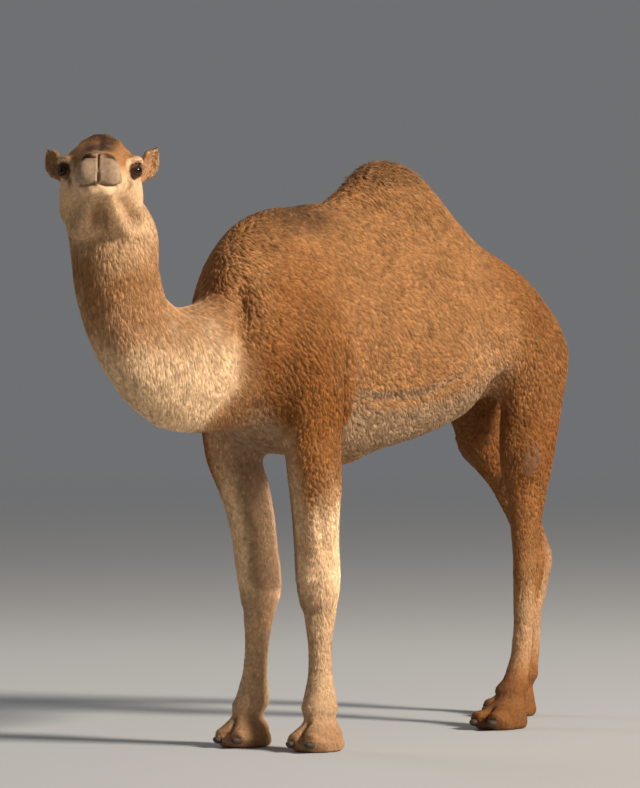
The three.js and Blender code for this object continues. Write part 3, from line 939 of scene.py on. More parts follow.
def shape_forelegs(clay):
    """Muscles of the forearm, the knee with its wrinkles, tendons and fetlock."""
    heights = (0.96, 0.86, 0.76, 0.66, KNEE_Z + 0.03, KNEE_Z - 0.04, 0.44, 0.36, 0.27, 0.2)
    for leg, side in (("front_left", 1), ("front_right", -1)):
        stations = [leg_middle(clay, leg, height) for height in heights]
        leg_creases(
            clay,
            stations,
            side,
            (0.018, 0.011, (0, 0.95, 0.3), (1, 0.97, 0.25), (2, 0.97, 0.2), (3, 0.95, 0.3)),
            (0.018, 0.009, (1, 0.8, -0.55), (2, 0.85, -0.5), (3, 0.85, -0.45)),
            (0.012, 0.008, (4, 0.95, 0.35), (5, 0.95, 0.4), (6, 0.95, 0.4), (8, 0.95, 0.35)),
            (0.008, 0.006, (4, -0.95, 0.35), (6, -0.95, 0.4), (8, -0.95, 0.35)),
        )
        knee, half = stations[4]
        clay.swell(knee + [0, -half[1], 0.012], (0.06, 0.06, 0.055), 0.012)
        clay.swell(knee + [side * half[0] * 0.8, 0.0, -0.01], (0.035, 0.05, 0.05), 0.008)
        clay.swell(knee + [0, half[1], 0.01], (0.035, 0.045, 0.05), 0.008)
        below, below_half = stations[6]
        clay.swell(below + [0, -below_half[1], 0.03], (0.06, 0.05, 0.035), -0.009)
        fetlock, ankle = stations[9]
        clay.swell(fetlock + [0, ankle[1], -0.02], (0.035, 0.04, 0.04), 0.006)
        clay.settle()
        for i, drop in enumerate((0.03, 0.006, -0.018, -0.04)):
            front = knee + [0, -half[1] * 1.02, drop - 0.012]
            bow = 0.006 * (-1) ** i
            bend = [(x, abs(x) * half[1] * 0.5, bow * (1 - x * x)) for x in (-0.8, -0.3, 0.3, 0.8)]
            clay.crease([front + [x * half[0], y, z] for x, y, z in bend], 0.010, 0.0028)
    clay.settle()


def shape_hindlegs(clay):
    """Muscles of the thigh, the hock and the wrinkled callus on the stifle."""
    heights = (0.98, 0.88, 0.78, 0.68, HOCK_Z + 0.03, HOCK_Z - 0.05, 0.42, 0.33, 0.25)
    back = (0, 0.95, 0.35), (1, 0.95, 0.45), (2, 0.95, 0.5), (3, 0.95, 0.5), (4, 0.9, 0.45)
    for leg, side in (("hind_left", 1), ("hind_right", -1)):
        stations = [leg_middle(clay, leg, height) for height in heights]
        leg_creases(
            clay,
            stations,
            side,
            (0.018, 0.015, *back),
            (0.011, 0.009, (1, -0.95, 0.45), (3, -0.95, 0.5), (4, -0.9, 0.45)),
            (0.013, 0.010, (5, 0.95, 0.3), (6, 0.95, 0.35), (8, 0.95, 0.3)),
            (0.008, 0.006, (5, -0.95, 0.3), (6, -0.95, 0.35), (8, -0.95, 0.3)),
        )
        hock, half = stations[4]
        clay.swell(hock + [0, half[1], 0.02], (0.035, 0.045, 0.055), 0.009)
        clay.swell(hock + [side * half[0], -0.01, -0.02], (0.03, 0.045, 0.05), 0.005)
        clay.swell(hock + [0, -half[1], -0.03], (0.04, 0.04, 0.05), 0.004)
        stifle = Made.stifles[side]
        clay.swell(stifle, (0.09, 0.07, 0.11), 0.020)
        clay.settle()
        for turn in range(7):
            angle = turn * 0.9 + 0.3
            start = stifle + [0, 0.010 * math.cos(angle), 0.014 * math.sin(angle) + 0.02]
            angle += 0.4
            end = stifle + [-0.004, 0.042 * math.cos(angle), 0.052 * math.sin(angle) + 0.02]
            clay.crease([start, (start + end) / 2 + [0, 0.006, 0.005], end], 0.008, 0.0062)
    clay.settle()


STIFLE = {"height": 0.975, "ahead": 0.74}  # ahead of the leg's middle, in half depths
SOLE_Z = 0.0012  # the skin's lowest point


def stifle_spot(clay, leg, side):
    """The outer side of the stifle, where a camel has a callus."""
    middle, half = leg_middle(clay, leg, STIFLE["height"])
    gap = np.hypot(
        clay.points[:, 1] - (middle[1] - STIFLE["ahead"] * half[1]), clay.points[:, 2] - STIFLE["height"]
    )
    near = clay.points[(gap < 0.03) & (clay.points[:, 0] * side > 0)]
    return near[np.argmax(near[:, 0] * side)]


def shape_feet(clay):
    """Two toes, a soft heel and a narrow pastern."""
    for leg in LEGS:
        low, high = corner(f"foot_{leg}")
        middle = (low + high) / 2
        x, toe = middle[0], low[1]
        cleft = [(0.002, 0.012), (0.008, 0.045), (0.035, 0.074), (0.075, 0.094)]
        clay.crease([np.array([x, toe + back, z]) for back, z in cleft], 0.0085, 0.02, ends=0.05)
        clay.settle()
        for side in (-1, 1):
            clay.swell(np.array([x + side * 0.036, toe + 0.05, 0.06]), (0.035, 0.045, 0.03), 0.004)
        clay.swell(np.array([x, high[1] - 0.03, 0.06]), (0.06, 0.05, 0.035), 0.005)
        local = clay.points - middle
        out = unit(local * [1, 1, 0])
        waist = hill(clay.points[:, 2], 0.108, 0.045) * (np.linalg.norm(local, axis=1) < 0.24)
        clay.points -= out * (0.015 * waist)[:, None]
    clay.points[:, 2] = np.maximum(clay.points[:, 2], SOLE_Z)
    clay.settle()


def shape_trunk(clay):
    """Folds of the elbow, belly, breast and flank, and the muscles between them."""
    elbow = [
        (0.16, -0.20, 1.0), (0.23, -0.27, 1.08), (0.265, -0.295, 1.2), (0.265, -0.295, 1.32),
        (0.26, -0.29, 1.42), (0.25, -0.27, 1.5),
    ]
    belly = [
        (0.26, -0.25, 1.212), (0.25, -0.14, 1.212), (0.254, -0.02, 1.212), (0.28, 0.12, 1.222),
        (0.296, 0.28, 1.255), (0.30, 0.40, 1.31), (0.28, 0.50, 1.40), (0.27, 0.54, 1.47),
    ]
    breast = [
        (0.09, -0.66, 1.60), (0.12, -0.68, 1.53), (0.147, -0.70, 1.386), (0.13, -0.75, 1.23),
        (0.066, -0.81, 1.114),
    ]
    shoulder_point = [(0.17, -0.58, 1.5), (0.2, -0.60, 1.38), (0.19, -0.63, 1.25), (0.17, -0.64, 1.14)]
    flank = [
        (0.25, 0.765, 1.48), (0.258, 0.735, 1.42), (0.26, 0.715, 1.36), (0.25, 0.70, 1.30),
        (0.23, 0.69, 1.25),
    ]
    muscles = [
        ((0.25, FORE_Y - 0.08, 1.42), (0.12, 0.2, 0.3), 0.014),
        ((0.26, FORE_Y - 0.05, 1.16), (0.12, 0.16, 0.16), 0.012),
        ((0.2, RUMP_Y - 0.26, 1.55), (0.12, 0.16, 0.14), 0.006),
        ((0.25, RUMP_Y - 0.4, 1.42), (0.12, 0.1, 0.2), -0.012),
    ]
    for _, side in SIDES:
        clay.crease(beside(side, elbow), 0.024, 0.024, ends=0.3)
        clay.crease(beside(side, elbow[1:], (0, 0.045, 0)), 0.024, -0.012, ends=0.3)
        clay.settle()
        clay.crease(beside(side, belly, (0, 0, -0.020)), 0.024, 0.009, ends=0.35)
        clay.crease(beside(side, belly, (0, 0, 0.012)), 0.024, -0.006, ends=0.35)
        clay.settle()
        clay.crease(beside(side, breast), 0.028, 0.026, ends=0.25)
        clay.crease(beside(side, shoulder_point), 0.06, -0.014, ends=0.3)
        clay.settle()
        for (x, y, z), reach, height in muscles:
            clay.swell(np.array([side * x, y, z]), reach, height)
        clay.settle()
        tuck = np.array([side * 0.2, 0.70, 1.20])
        clay.swell(tuck, (0.17, 0.17, 0.13), 0.06, along=np.array([0, 0, 1.0]))
        clay.settle()
        clay.crease(beside(side, flank), 0.022, 0.034, ends=0.25)
        clay.settle()
        clay.crease(beside(side, flank, (0, -0.055, 0)), 0.03, -0.012, ends=0.3)
    clay.settle()


def shape_neck(clay):
    """Gullet groove, the wrinkles of the dewlap, and the swelling behind the jaw."""
    for _, side in SIDES:
        groove = HEAD.line(side, (-0.02, 0.115, -0.22), (-0.06, 0.125, -0.36), (-0.07, 0.13, -0.5))
        clay.crease(groove, 0.03, 0.01, ends=0.3)
    wrinkle = [(-0.09, -0.985, 1.150), (-0.03, -0.975, 1.136), (0.03, -0.965, 1.128), (0.09, -0.95, 1.135)]
    for back in (0, 0.05):
        clay.crease(beside(1, wrinkle, (0, back, 0)), 0.014, 0.006, ends=0.4)
    clay.swell(np.array([0.0, -0.99, 1.72]), (0.1, 0.12, 0.2), 0.008)
    for _, side in SIDES:
        clay.mounds(side, ((-0.03, 0.14, -0.17), (0.1, 0.09, 0.16), 0.016))
    clay.settle()


def fit(clay, inset, rounds=30):
    """Moves the smoothed skin so that, over every hand's breadth, it lies one inset inside the solids."""
    tree, _ = solids_tree(hulls=True)
    gap = np.empty(len(clay.points))
    for i, point in enumerate(clay.points):
        spot, normal = tree.find_nearest(Vector(point))[:2]
        gap[i] = (Vector(point) - spot).dot(normal)
    gap = clay.soften((gap.clip(-0.04, 0.02) + inset)[:, None], 1.0, rounds)[:, 0]
    clay.points -= clay.normals * gap[:, None]
    clay.settle()


def cling(clay, share, inset):
    """Draws points back to the solids, less the coat's depth, each by its own share."""
    tree, _ = solids_tree(hulls=True)
    for i in np.flatnonzero(share > 0.02):
        spot, normal = tree.find_nearest(Vector(clay.points[i]))[:2]
        aim = np.array(spot) - np.array(normal) * inset[i]
        clay.points[i] += (aim - clay.points[i]) * share[i]
    clay.settle()


def near_stifles(mesh, reach):
    """The faces round the two calluses."""
    spots = face_middles(mesh)
    gaps = [np.linalg.norm((spots - spot) / reach, axis=1) for spot in Made.stifles.values()]
    return np.min(gaps, 0) < 1


def fine_body(clay):
    """Makes the skin's faces smaller at the folds of the body, at the knees and on the hind legs."""
    mesh = clay.obj.data
    x, y, z = face_middles(mesh).T
    side = np.abs(x) > 0.12
    elbow = side & (np.abs(y + 0.27) < 0.07) & (z > 0.98) & (z < 1.5)
    belly_line = z - 1.2 - 0.62 * (y - 0.05).clip(0, 1) ** 1.6
    belly = side & (np.abs(belly_line) < 0.06) & (y > -0.3) & (y < 0.6)
    flank = side & (np.abs(y - 0.55 - 0.42 * (z - 1.1)) < 0.09) & (z > 1.16) & (z < 1.54)
    knee = (y < FORE_END) & (z > KNEE_Z - 0.12) & (z < KNEE_Z + 0.34)
    hind = (y > RUMP_Y - 0.6) & (z > 0.22) & (z < 0.86)
    refine(clay, elbow | belly | flank | knee | hind)
    refine(clay, near_stifles(mesh, (0.12, 0.1, 0.13)))
    clay.relax(0.5, 2)
    refine(clay, near_stifles(mesh, (0.1, 0.08, 0.12)) & (column(mesh.polygons, "area") < 1.6e-4))
    clay.relax(0.5, 2)


def head_faces(clay):
    """Where the skin's faces are in the head, and their areas."""
    mesh = clay.obj.data
    u, v, w = HEAD.local(face_middles(mesh)).T
    return u, np.abs(v), w, column(mesh.polygons, "area")


def relax_head(clay, start, rounds=2):
    """Smooths the head from a place on its length forward."""
    chosen = (HEAD.local(clay.points)[:, 0] > start) * (clay.points[:, 2] > HEAD.root[2] - 0.2)
    clay.relax(0.5 * chosen, rounds)


def fine_head(clay):
    """Makes the skin's faces smaller in two steps: face and ears, then muzzle and eyes."""
    u, v, w, size = head_faces(clay)
    front = (u > 0.1) & (w > -0.21) & (v < 0.17)
    ears = (v > 0.13) & (w > -0.03)
    refine(clay, (front | ears) & (size < 1.2e-4))
    relax_head(clay, -0.02)
    u, v, w, size = head_faces(clay)
    muzzle = (u > 0.42) & (w > -0.09)
    orbit = (np.abs(u - 0.245) < 0.045) & (np.abs(w - 0.006) < 0.04) & (v > 0.07)
    refine(clay, (muzzle | orbit) & (size < 3e-5))
    relax_head(clay, 0.18)


def finish_skin(settings):
    """The skin from start to end: smoothed, fitted into the solids, made finer and shaped."""
    clay = Clay(raw_skin(settings))
    shares = zone_shares(clay)
    clay.relax(by_zone(shares, SMOOTH), settings.smoothing)
    fit(clay, by_zone(shares, DEPTH))
    for leg, side in (("hind_left", 1), ("hind_right", -1)):
        Made.stifles[side] = stifle_spot(clay, leg, side)
    fine_body(clay)
    shape_trunk(clay)
    shape_neck(clay)
    u, v, w, _ = head_faces(clay)
    feet = face_middles(clay.obj.data)[:, 2] < 0.24
    refine(clay, (u > -0.06) & (w > -0.24) & (v < 0.24) | feet)
    shares = zone_shares(clay, 5)
    fine = shares_in(shares, "head", "jaw", "ear", "foot")
    cling(clay, fine, by_zone(shares, DEPTH))
    clay.relax(np.where(shares_in(shares, "ear") > 0.3, 0.45, 0.7) * fine, 6)
    fine_head(clay)
    for shape in (shape_brow, shape_jaw, shape_muzzle, shape_nostrils, shape_eyes):
        shape(clay)
    for shape in (shape_forelegs, shape_hindlegs, shape_feet):
        shape(clay)
    shape_ears(clay, zone_shares(clay, 4))
    clay.relax(0.25, 1)
    return clay


# ------------------------------------------------------------------ markings and the lie of the coat


def eye_surrounds(points):
    """Masks of the arched brow and of the lids about each eye."""
    brow, socket = np.zeros(len(points)), np.zeros(len(points))
    for name, side in SIDES:
        local = round_eye(points, name, side)
        ring = np.hypot((local[:, 1] - 0.006) / 0.044, local[:, 2] / 0.036)
        near = np.linalg.norm(local, axis=1) < 0.09
        brow += near * hill(ring, 1.02, 0.34) * ramp(local[:, 2], -0.006, 0.010)
        socket += near * ramp(ring, 0.94, 0.64)
    return brow, socket


def callus_mask(points, pad):
    """The bare horny skin of the chest pad and the two stifles, with uneven edges."""
    x, y, z = points.T
    rough = flutter(points, 0.02, 17) * 0.012 + flutter(points, 0.05, 18) * 0.014
    callus = pad * 0.35
    for way, spot in Made.stifles.items():
        gap = np.hypot((y - spot[1]) * 1.35, z - spot[2] + 0.01) + rough
        callus = callus + 0.95 * ramp(gap, 0.082, 0.04) * ramp(x * way, 0.1, 0.16)
    return callus


def markings(points, normals, shares):
    """Two sets of three masks: cream, chestnut and umber; then muzzle, ash and callus. Parts of the first
    three are painted light and shade, on the jaw hollow, nostril slits, lip cleft, breast, neck front and
    hind leg fronts.
    """
    trunk, hump, pad, neck_base, neck_middle, nape, head, jaw, ear, tail = shares.T[:10]
    arm, thigh, shin, foot = shares.T[10:]
    x, y, z = points.T
    u, v, w = HEAD.local(points).T
    side, beside_face = np.abs(x), np.abs(v)
    lateral = normals[:, 0] * np.sign(x)
    facing = ramp(normals @ HEAD.forward, 0.0, 0.7)
    wave = flutter(points, 0.16, 3) * 0.07 + flutter(points, 0.05, 7) * 0.03
    neck = neck_base + neck_middle + nape
    skull = head + jaw
    body = trunk + arm
    fore = y < FORE_END
    hind = 1 - fore
    front_leg = fore * (arm + shin + foot)
    hind_leg = hind * (thigh + shin + foot)
    brow, socket = eye_surrounds(points)
    # painted shade: the hollow between the bones of the lower jaw made browner and darker, and less cream
    jaw_hollow_shade = skull * hill(w, -0.148, 0.04) * hill(v, 0, 0.036) * hill(u, 0.28, 0.17)

    # where the neck meets the chest
    edge = -0.70 - 0.39 * (1.39 - z).clip(0, 1) + 0.17 * (z - 1.39).clip(0, 1)
    on_neck = ramp(y + 0.8 * wave, edge + 0.06, edge - 0.05)
    chest = ramp(y, CHEST_Y + 0.28, CHEST_Y + 0.02) * ramp(z, 1.2, 1.05) * (1 - neck)
    pale = (
        0.9 * (neck * ramp(z + 1.5 * wave, 1.62, 1.22) * on_neck)
        + 0.75 * (skull * ramp(w, 0.03, -0.03) * ramp(u, 0.0, 0.08))
        + 0.5 * (jaw * hill(w, -0.085, 0.02) * ramp(u, 0.36, 0.42))
        + 0.12 * neck
        + 0.4 * nape * ramp(z, 1.7, 1.8)
        + front_leg * (0.68 + 0.22 * ramp(z, 0.4, 0.6)) * ramp(z + wave * 2, 1.0, 0.68)
        + front_leg * 0.55 * ramp(z, 0.7, 0.9) * ramp(lateral, 0.5, 0.0)
        + hind_leg * 0.55 * ramp(z + wave * 2, 0.62, 0.5) * ramp(z, 0.16, 0.26)
        + brow * skull * 0.9
        + 0.12 * trunk * hill(z + wave, 1.28, 0.2) * ramp(y, 0.3, 0.5)
        + 0.5 * chest * (1 - front_leg)
        + 0.4 * ear
        # the forward-facing upper neck paler: throat colour, partly a painted highlight
        + 0.26 * neck * facing * ramp(z + wave, 1.6, 1.75)
    )
    pale = pale * (1 - 0.7 * jaw_hollow_shade.clip(0, 1))

    shoulder = hill(y + wave, -0.47, 0.34) * ramp(z + wave, 0.98, 1.12)
    shoulder = shoulder * ramp(z, 1.95, 1.75) * ramp(side, 0.1, 0.18)
    # the breast in front of the shoulders: chestnut coat, with painted shade added in the umber mask
    front = (body + neck) * (1 - on_neck) * ramp(y + wave, -0.42, -0.55) * hill(z + wave, 1.28, 0.24)
    rump = (trunk + thigh) * ramp(y + wave, RUMP_Y - 0.56, RUMP_Y - 0.3) * ramp(z, 0.7, 1.1)
    slope = trunk * ramp(y + wave, -0.32, -0.46) * ramp(z + wave, 1.66, 1.76)
    chestnut = (
        body * shoulder * (0.7 + 0.15 * ramp(z, 1.5, 1.2))
        + 0.5 * front
        + 0.55 * front_leg * hill(z + wave, 1.0, 0.24) * ramp(lateral, 0.0, 0.75)
        + 0.66 * rump
        + hind_leg * ramp(z + wave, 1.25, 1.0) * (0.36 + 0.24 * ramp(z, 0.5, 0.9))
        + hind * (foot * 0.5 + shin * ramp(z, 0.34, 0.2) * 0.2)
        + 0.45 * foot * fore * ramp(z, 0.14, 0.06)
        + 0.35 * ear
        + 0.25 * nape * ramp(u, 0.02, -0.06)
        # a chestnut band across the forward-facing neck: coat colour, partly painted shade
        + 0.4 * neck * facing * hill(z + wave * 2, 1.52, 0.16)
        + 0.4 * (head * ramp(w, 0.07, 0.11))
        + 0.45 * tail
        + 0.25 * slope
        + 0.6 * jaw_hollow_shade
    )

    crest = ramp(z + wave * 0.4, HUMP_TOP - 0.14, HUMP_TOP - 0.02) * (hump > 0.3)
    withers = hill(y, FORE_Y - 0.02, 0.3) * ramp(z + wave * 0.5, 1.72, 1.84) * trunk
    tear = skull * hill(u, 0.28, 0.042) * hill(w, -0.036, 0.032) * ramp(beside_face, 0.08, 0.1)
    # painted shade in the nostril slits and down the cleft of the lip, darkest low in the cleft
    slit = head * ramp(u, 0.39, 0.42) * hill(beside_face, 0.040, 0.032)
    slit = slit * hill(w + 0.38 * beside_face, 0.0415, 0.0125)
    cleft = head * ramp(u, 0.44, 0.47) * hill(v, 0, 0.0045) * (0.5 + 0.5 * ramp(w, 0.02, -0.02))
    knee = front_leg * hill(z, KNEE_Z - 0.05, 0.07) * ramp(y, FORE_Y + 0.06, FORE_Y + 0.0)
    bridge = head * ramp(w, 0.05, 0.07) * ramp(beside_face, 0.07, 0.036) * ramp(u, -0.04, 0.04)
    nose = skull * ramp(u + wave * 0.2, 0.39, 0.45) * ramp(w, -0.078, -0.066)
    dark = (
        # painted shade on the breast in front of the shoulders
        0.2 * front
        + 0.6 * slope * ramp(flutter(points, 0.035, 29), 0.0, 0.8)
        + 0.55 * crest
        + 0.8 * withers
        + 0.8 * (socket * skull)
        + 0.6 * tear
        + 1.1 * slit
        + 0.3 * knee
        + 0.8 * cleft
        + 1.25 * bridge * (0.7 + 0.5 * flutter(points, 0.03, 53))
        + 0.35 * jaw_hollow_shade
        # painted shade: the hind legs darker on their forward-facing sides
        + 0.22 * hind_leg * ramp(-normals[:, 1], 0.1, 0.7) * ramp(z, 1.3, 1.1)
        + 0.11 * rump
        + 0.32 * hind * foot
        + 0.12 * fore * foot
        + 0.04 * body * hill(z + wave, 1.22, 0.2) * shoulder
        + 0.22 * nose * ramp(w, 0.0, 0.04)
    )

    belly = trunk * ramp(normals[:, 2], -0.05, -0.55) + arm * ramp(side, 0.12, 0.08)
    ash = (
        0.35 * front_leg * ramp(z, 0.6, 0.4)
        + 0.75 * belly
        + 0.6 * ((thigh + arm) * ramp(lateral, -0.2, -0.7))
        + 0.4 * trunk * ramp(z + wave, 1.24, 1.12)
    )
    # muzzle colour left out over the painted shade of the slits and cleft, and thinned towards the top of
    # the nose
    bare = 1 - 0.92 * (slit + cleft).clip(0, 1) - 0.3 * ramp(w, 0.0, 0.045)
    muzzle = 0.85 * nose * bare.clip(0, 1)
    masks = [pale, chestnut, dark, muzzle, ash, callus_mask(points, pad)]
    masks = np.clip(np.array(masks), 0, 1).T
    return masks[:, :3], masks[:, 3:]


def coat_lie(points, normals, shares):
    """The way the hair lies at each point, along the skin."""
    _, v, w = HEAD.local(points).T
    face = -HEAD.forward * 0.8 - HEAD.up * 0.4 + HEAD.left * (0.35 * np.sign(v))[:, None]
    poll = -HEAD.forward * 0.5 + HEAD.up * 0.6
    ways = {
        "trunk": (0, 0.72, -0.7),
        "hump": (0, 0.42, -0.9),
        "pad": (0, 1, 0),
        "neck_base": (0, 0.55, -0.8),
        "neck": (0, 0.2, -1),
        "nape": (0, 0.05, -1),
        "head": np.where((w > 0.09)[:, None], poll, face),
        "jaw": -HEAD.forward * 0.6 - HEAD.up * 0.7,
        "ear": np.where((v > 0)[:, None], ear_frame("left")[1][2], ear_frame("right")[1][2]),
        "tail": (0, 0.1, -1),
        "arm": (0, 0.25, -1),
        "thigh": (0, 0.3, -1),
        "shin": (0, 0.08, -1),
        "foot": (0, -0.25, -1),
    }
    flow = np.zeros_like(points)
    for i, name in enumerate(ZONE_NAMES):
        flow += shares[:, i : i + 1] * unit(np.broadcast_to(ways[name], points.shape))
    flow[:, 0] += np.sign(points[:, 0]) * 0.12 * shares_in(shares, "hump")
    flow -= normals * (flow * normals).sum(1)[:, None]
    weak = np.linalg.norm(flow, axis=1) < 0.15
    flow[weak] += np.array([0, 1.0, 0]) - normals[weak] * normals[weak][:, 1:2]
    return unit(flow)


# ------------------------------------------------------------------ the coat


OVERSOWN, THINNED = 2.6, 1.22  # seeds sown for each root, and the cell that keeps one, in spacings


class Pelt:
    """What the coat needs to know of the finished skin."""

    def __init__(self, clay):
        mesh = clay.obj.data
        mesh.calc_loop_triangles()
        self.corners = column(mesh.loop_triangles, "vertices", np.int32, 3)
        self.area = column(mesh.loop_triangles, "area").astype(float)
        loops = column(mesh.loop_triangles, "loops", np.int32, 3)
        self.unwrap = column(mesh.uv_layers["unwrap"].data, "uv", width=2)[loops].astype(float)
        self.points = clay.points
        self.normals = clay.normals
        self.shares = zone_shares(clay, 8)
        self.marks, self.patches = markings(clay.points, clay.normals, self.shares)
        self.lie = coat_lie(clay.points, clay.normals, self.shares)

    def share(self, *names):
        return shares_in(self.shares, *names)

    def scatter(self, chance, spacing, seed):
        """Roots about one spacing apart, where the chance, from 0 to 1 at each point, allows."""
        rng = np.random.default_rng(seed)
        local = chance.clip(0, 1)[self.corners].mean(1) * self.area
        count = int(local.sum() / spacing**2 * OVERSOWN)
        where = rng.choice(len(local), count, p=local / local.sum())
        a, b = np.sqrt(rng.random(count)), rng.random(count)
        blend = np.stack([1 - a, a * (1 - b), a * b], 1)[:, :, None]
        spots = (self.points[self.corners[where]] * blend).sum(1)
        cells = np.floor(spots / (spacing * THINNED)).astype(np.int64)
        _, first = np.unique(cell_keys(cells), return_index=True)
        where, blend = where[first], blend[first]
        fields = {
            name: (getattr(self, name)[self.corners[where]] * blend).sum(1)
            for name in ("points", "normals", "lie", "shares", "marks", "patches")
        }
        fields["normals"] = unit(fields["normals"])
        fields["lie"] = unit(along_skin(fields["lie"], fields["normals"]))
        return Roots(rng, unwrap=(self.unwrap[where] * blend).sum(1), **fields)


class Roots:
    """Where tufts grow, with all that each needs from the skin."""

    fields = ("points", "normals", "lie", "shares", "marks", "patches", "unwrap")

    def __init__(self, rng, **given):
        count = len(given["points"])
        self.rng = rng
        self.shares = np.zeros((count, len(ZONES)))
        self.marks = self.patches = np.zeros((count, 3))
        self.__dict__.update(given)

    def part(self, chosen):
        return Roots(self.rng, **{name: getattr(self, name)[chosen] for name in self.fields})

    def share(self, *names):
        return shares_in(self.shares, *names)


PATCH = 0.003  # size of a tuft's place on the unwrap


def nearest_lock(points, size, rng):
    """For each root the index of the root at the heart of its lock; hearts are about size apart."""
    cells = np.floor((points + rng.random(3)) / size).astype(np.int64)
    mixed = rng.permutation(len(points))
    _, first = np.unique(cell_keys(cells)[mixed], return_index=True)
    hearts = mixed[first]
    tree = KDTree(len(hearts))
    for i, heart in enumerate(hearts):
        tree.insert(points[heart], i)
    tree.balance()
    return hearts[[tree.find(point)[1] for point in points]]


STRAND = (900, 60, 50)  # how fast the hair streaks change across, along and between tufts
RING_SIZES = {3: (0.9, 1.05, 0.7), 1: (1.0,)}  # how wide a tuft is at each of its rings


def tufts(
    name, roots, long, wide, lift, curl=0.0, rings=1, sway=0.25, drift_size=0.05,
    lock=0.0, pull=0.0, sink=0.003, mottle=0.0, root=0.0,
):
    """Solid tufts with three sides: each leaves the skin, lies along the coat and ends in a point.

    lift is how far the point stands off the skin, and sink how deep the root starts under it. Tufts
    gather in locks of the size lock, pulled to their hearts by pull. They turn from the lie of the
    coat by sway, together over about drift_size. mottle is how much the shade changes from place to
    place, and root how light a tuft is at its root, against the painted shade there.
    """
    count, rng = len(roots.points), roots.rng
    normal = roots.normals
    turn = drift(roots.points, drift_size, 41) + drift(roots.points, drift_size * 4, 47) * 0.8
    turn = (turn + rng.normal(0, 0.4, (count, 3))) * sway
    along = unit(along_skin(roots.lie + turn, normal))
    across = np.cross(normal, along)
    long = long * (1 + 0.22 * rng.normal(size=count)).clip(0.5, 1.6)
    lift = lift * (0.75 + 0.5 * rng.random(count))
    wide = wide * (0.8 + 0.4 * rng.random(count))
    bend = curl * long * rng.uniform(-1, 1, count)
    shade = rng.random(count)
    gather = np.zeros((count, 3))
    if lock:
        heart = nearest_lock(roots.points, lock, rng)
        gather = (roots.points[heart] - roots.points) * pull
        shade = 0.4 * shade + 0.6 * shade[heart] + mottle * flutter(roots.points, 0.014, 91)
        lift = lift * (1.2 - 0.45 * np.linalg.norm(gather, axis=1) / (pull * lock)).clip(0.5, 1.2)
    per_tuft = rings * 3 + 1
    spots, facing, strand = (np.empty((count, per_tuft, 3)) for _ in range(3))
    places = np.empty((count, per_tuft, 2))
    round_lock = -gather / max(lock, 1e-3) * 2.8  # shades a lock as one rounded form

    def middle(t):
        rise = lift * math.sin(min(t * 1.25, 1.0) * math.pi / 2) - sink * (1 - t) ** 2
        line = roots.points + along * (long * t)[:, None] + normal * rise[:, None]
        return line + across * (bend * math.sin(t * 2.6))[:, None] + gather * t**1.3

    def point(index, spot, t, offset):
        spots[:, index] = spot
        facing[:, index] = normal + across * offset * 1.1 + along * 0.3 * (t - 0.3) + round_lock
        strand[:, index] = np.stack([offset * wide, t * long, shade], 1) * STRAND
        places[:, index] = roots.unwrap + PATCH * np.array([t - 0.5, offset])

    for ring, size in enumerate(RING_SIZES[rings]):
        t = ring / rings
        half = (wide * size / 2)[:, None]
        for k, (offset, way) in enumerate(((-0.5, -across), (0.5, across), (0.0, normal * 0.5))):
            point(ring * 3 + k, middle(t) + way * half, t, offset)
    point(per_tuft - 1, middle(1.0), 1.0, 0.0)
    spots[:, :, 2] = np.maximum(spots[:, :, 2], 0.001)  # nothing dips into the floor

    base = (np.arange(count) * per_tuft)[:, None]
    around = ((0, 1), (1, 2), (2, 0))
    last = rings * 3 - 3
    triangles = [[0, 2, 1]] + [[last + a, last + b, rings * 3] for a, b in around]
    quads = [[s + a, s + b, s + 3 + b, s + 3 + a] for s in range(0, last, 3) for a, b in around]
    faces = [np.vstack([base + np.array(face) for face in kind]) for kind in (triangles, quads) if kind]
    piece, corners = mesh_from_arrays(name, spots.reshape(-1, 3), faces)
    mesh = piece.data
    mesh.normals_split_custom_set_from_vertices(unit(facing.reshape(-1, 3)).tolist())
    write_attribute(mesh, "marks", np.repeat(roots.marks, per_tuft, 0))
    write_attribute(mesh, "patches", np.repeat(roots.patches * [1, 1, 0], per_tuft, 0))
    tip = (strand[:, :, 1] / (long * STRAND[1])[:, None]).clip(0, 1)
    write_attribute(mesh, "tip", (root + (1 - root) * tip).ravel())
    write_attribute(mesh, "shade", np.repeat(shade, per_tuft))
    fill(mesh.attributes.new("strand", "FLOAT_VECTOR", "POINT").data, "vector", strand)
    fill(mesh.uv_layers.new(name="OFBake").data, "uv", places.reshape(-1, 2)[corners])
    return piece


LIMIT = 190000  # triangles in one piece of the coat


def grow(name, roots, rings=1, **make):
    """Makes the tufts in pieces of no more than LIMIT triangles, cut along the body."""
    per_tuft = rings * 6 - 2
    parts = math.ceil(len(roots.points) * per_tuft / LIMIT)
    order = np.argsort(roots.points[:, 1], kind="stable")
    pieces = []
    for i, chosen in enumerate(np.array_split(order, parts)):
        values = {key: value[chosen] if np.ndim(value) else value for key, value in make.items()}
        title = f"{name}_{i + 1}" if parts > 1 else name
        pieces.append(tufts(title, roots.part(chosen), rings=rings, **values))
    return pieces


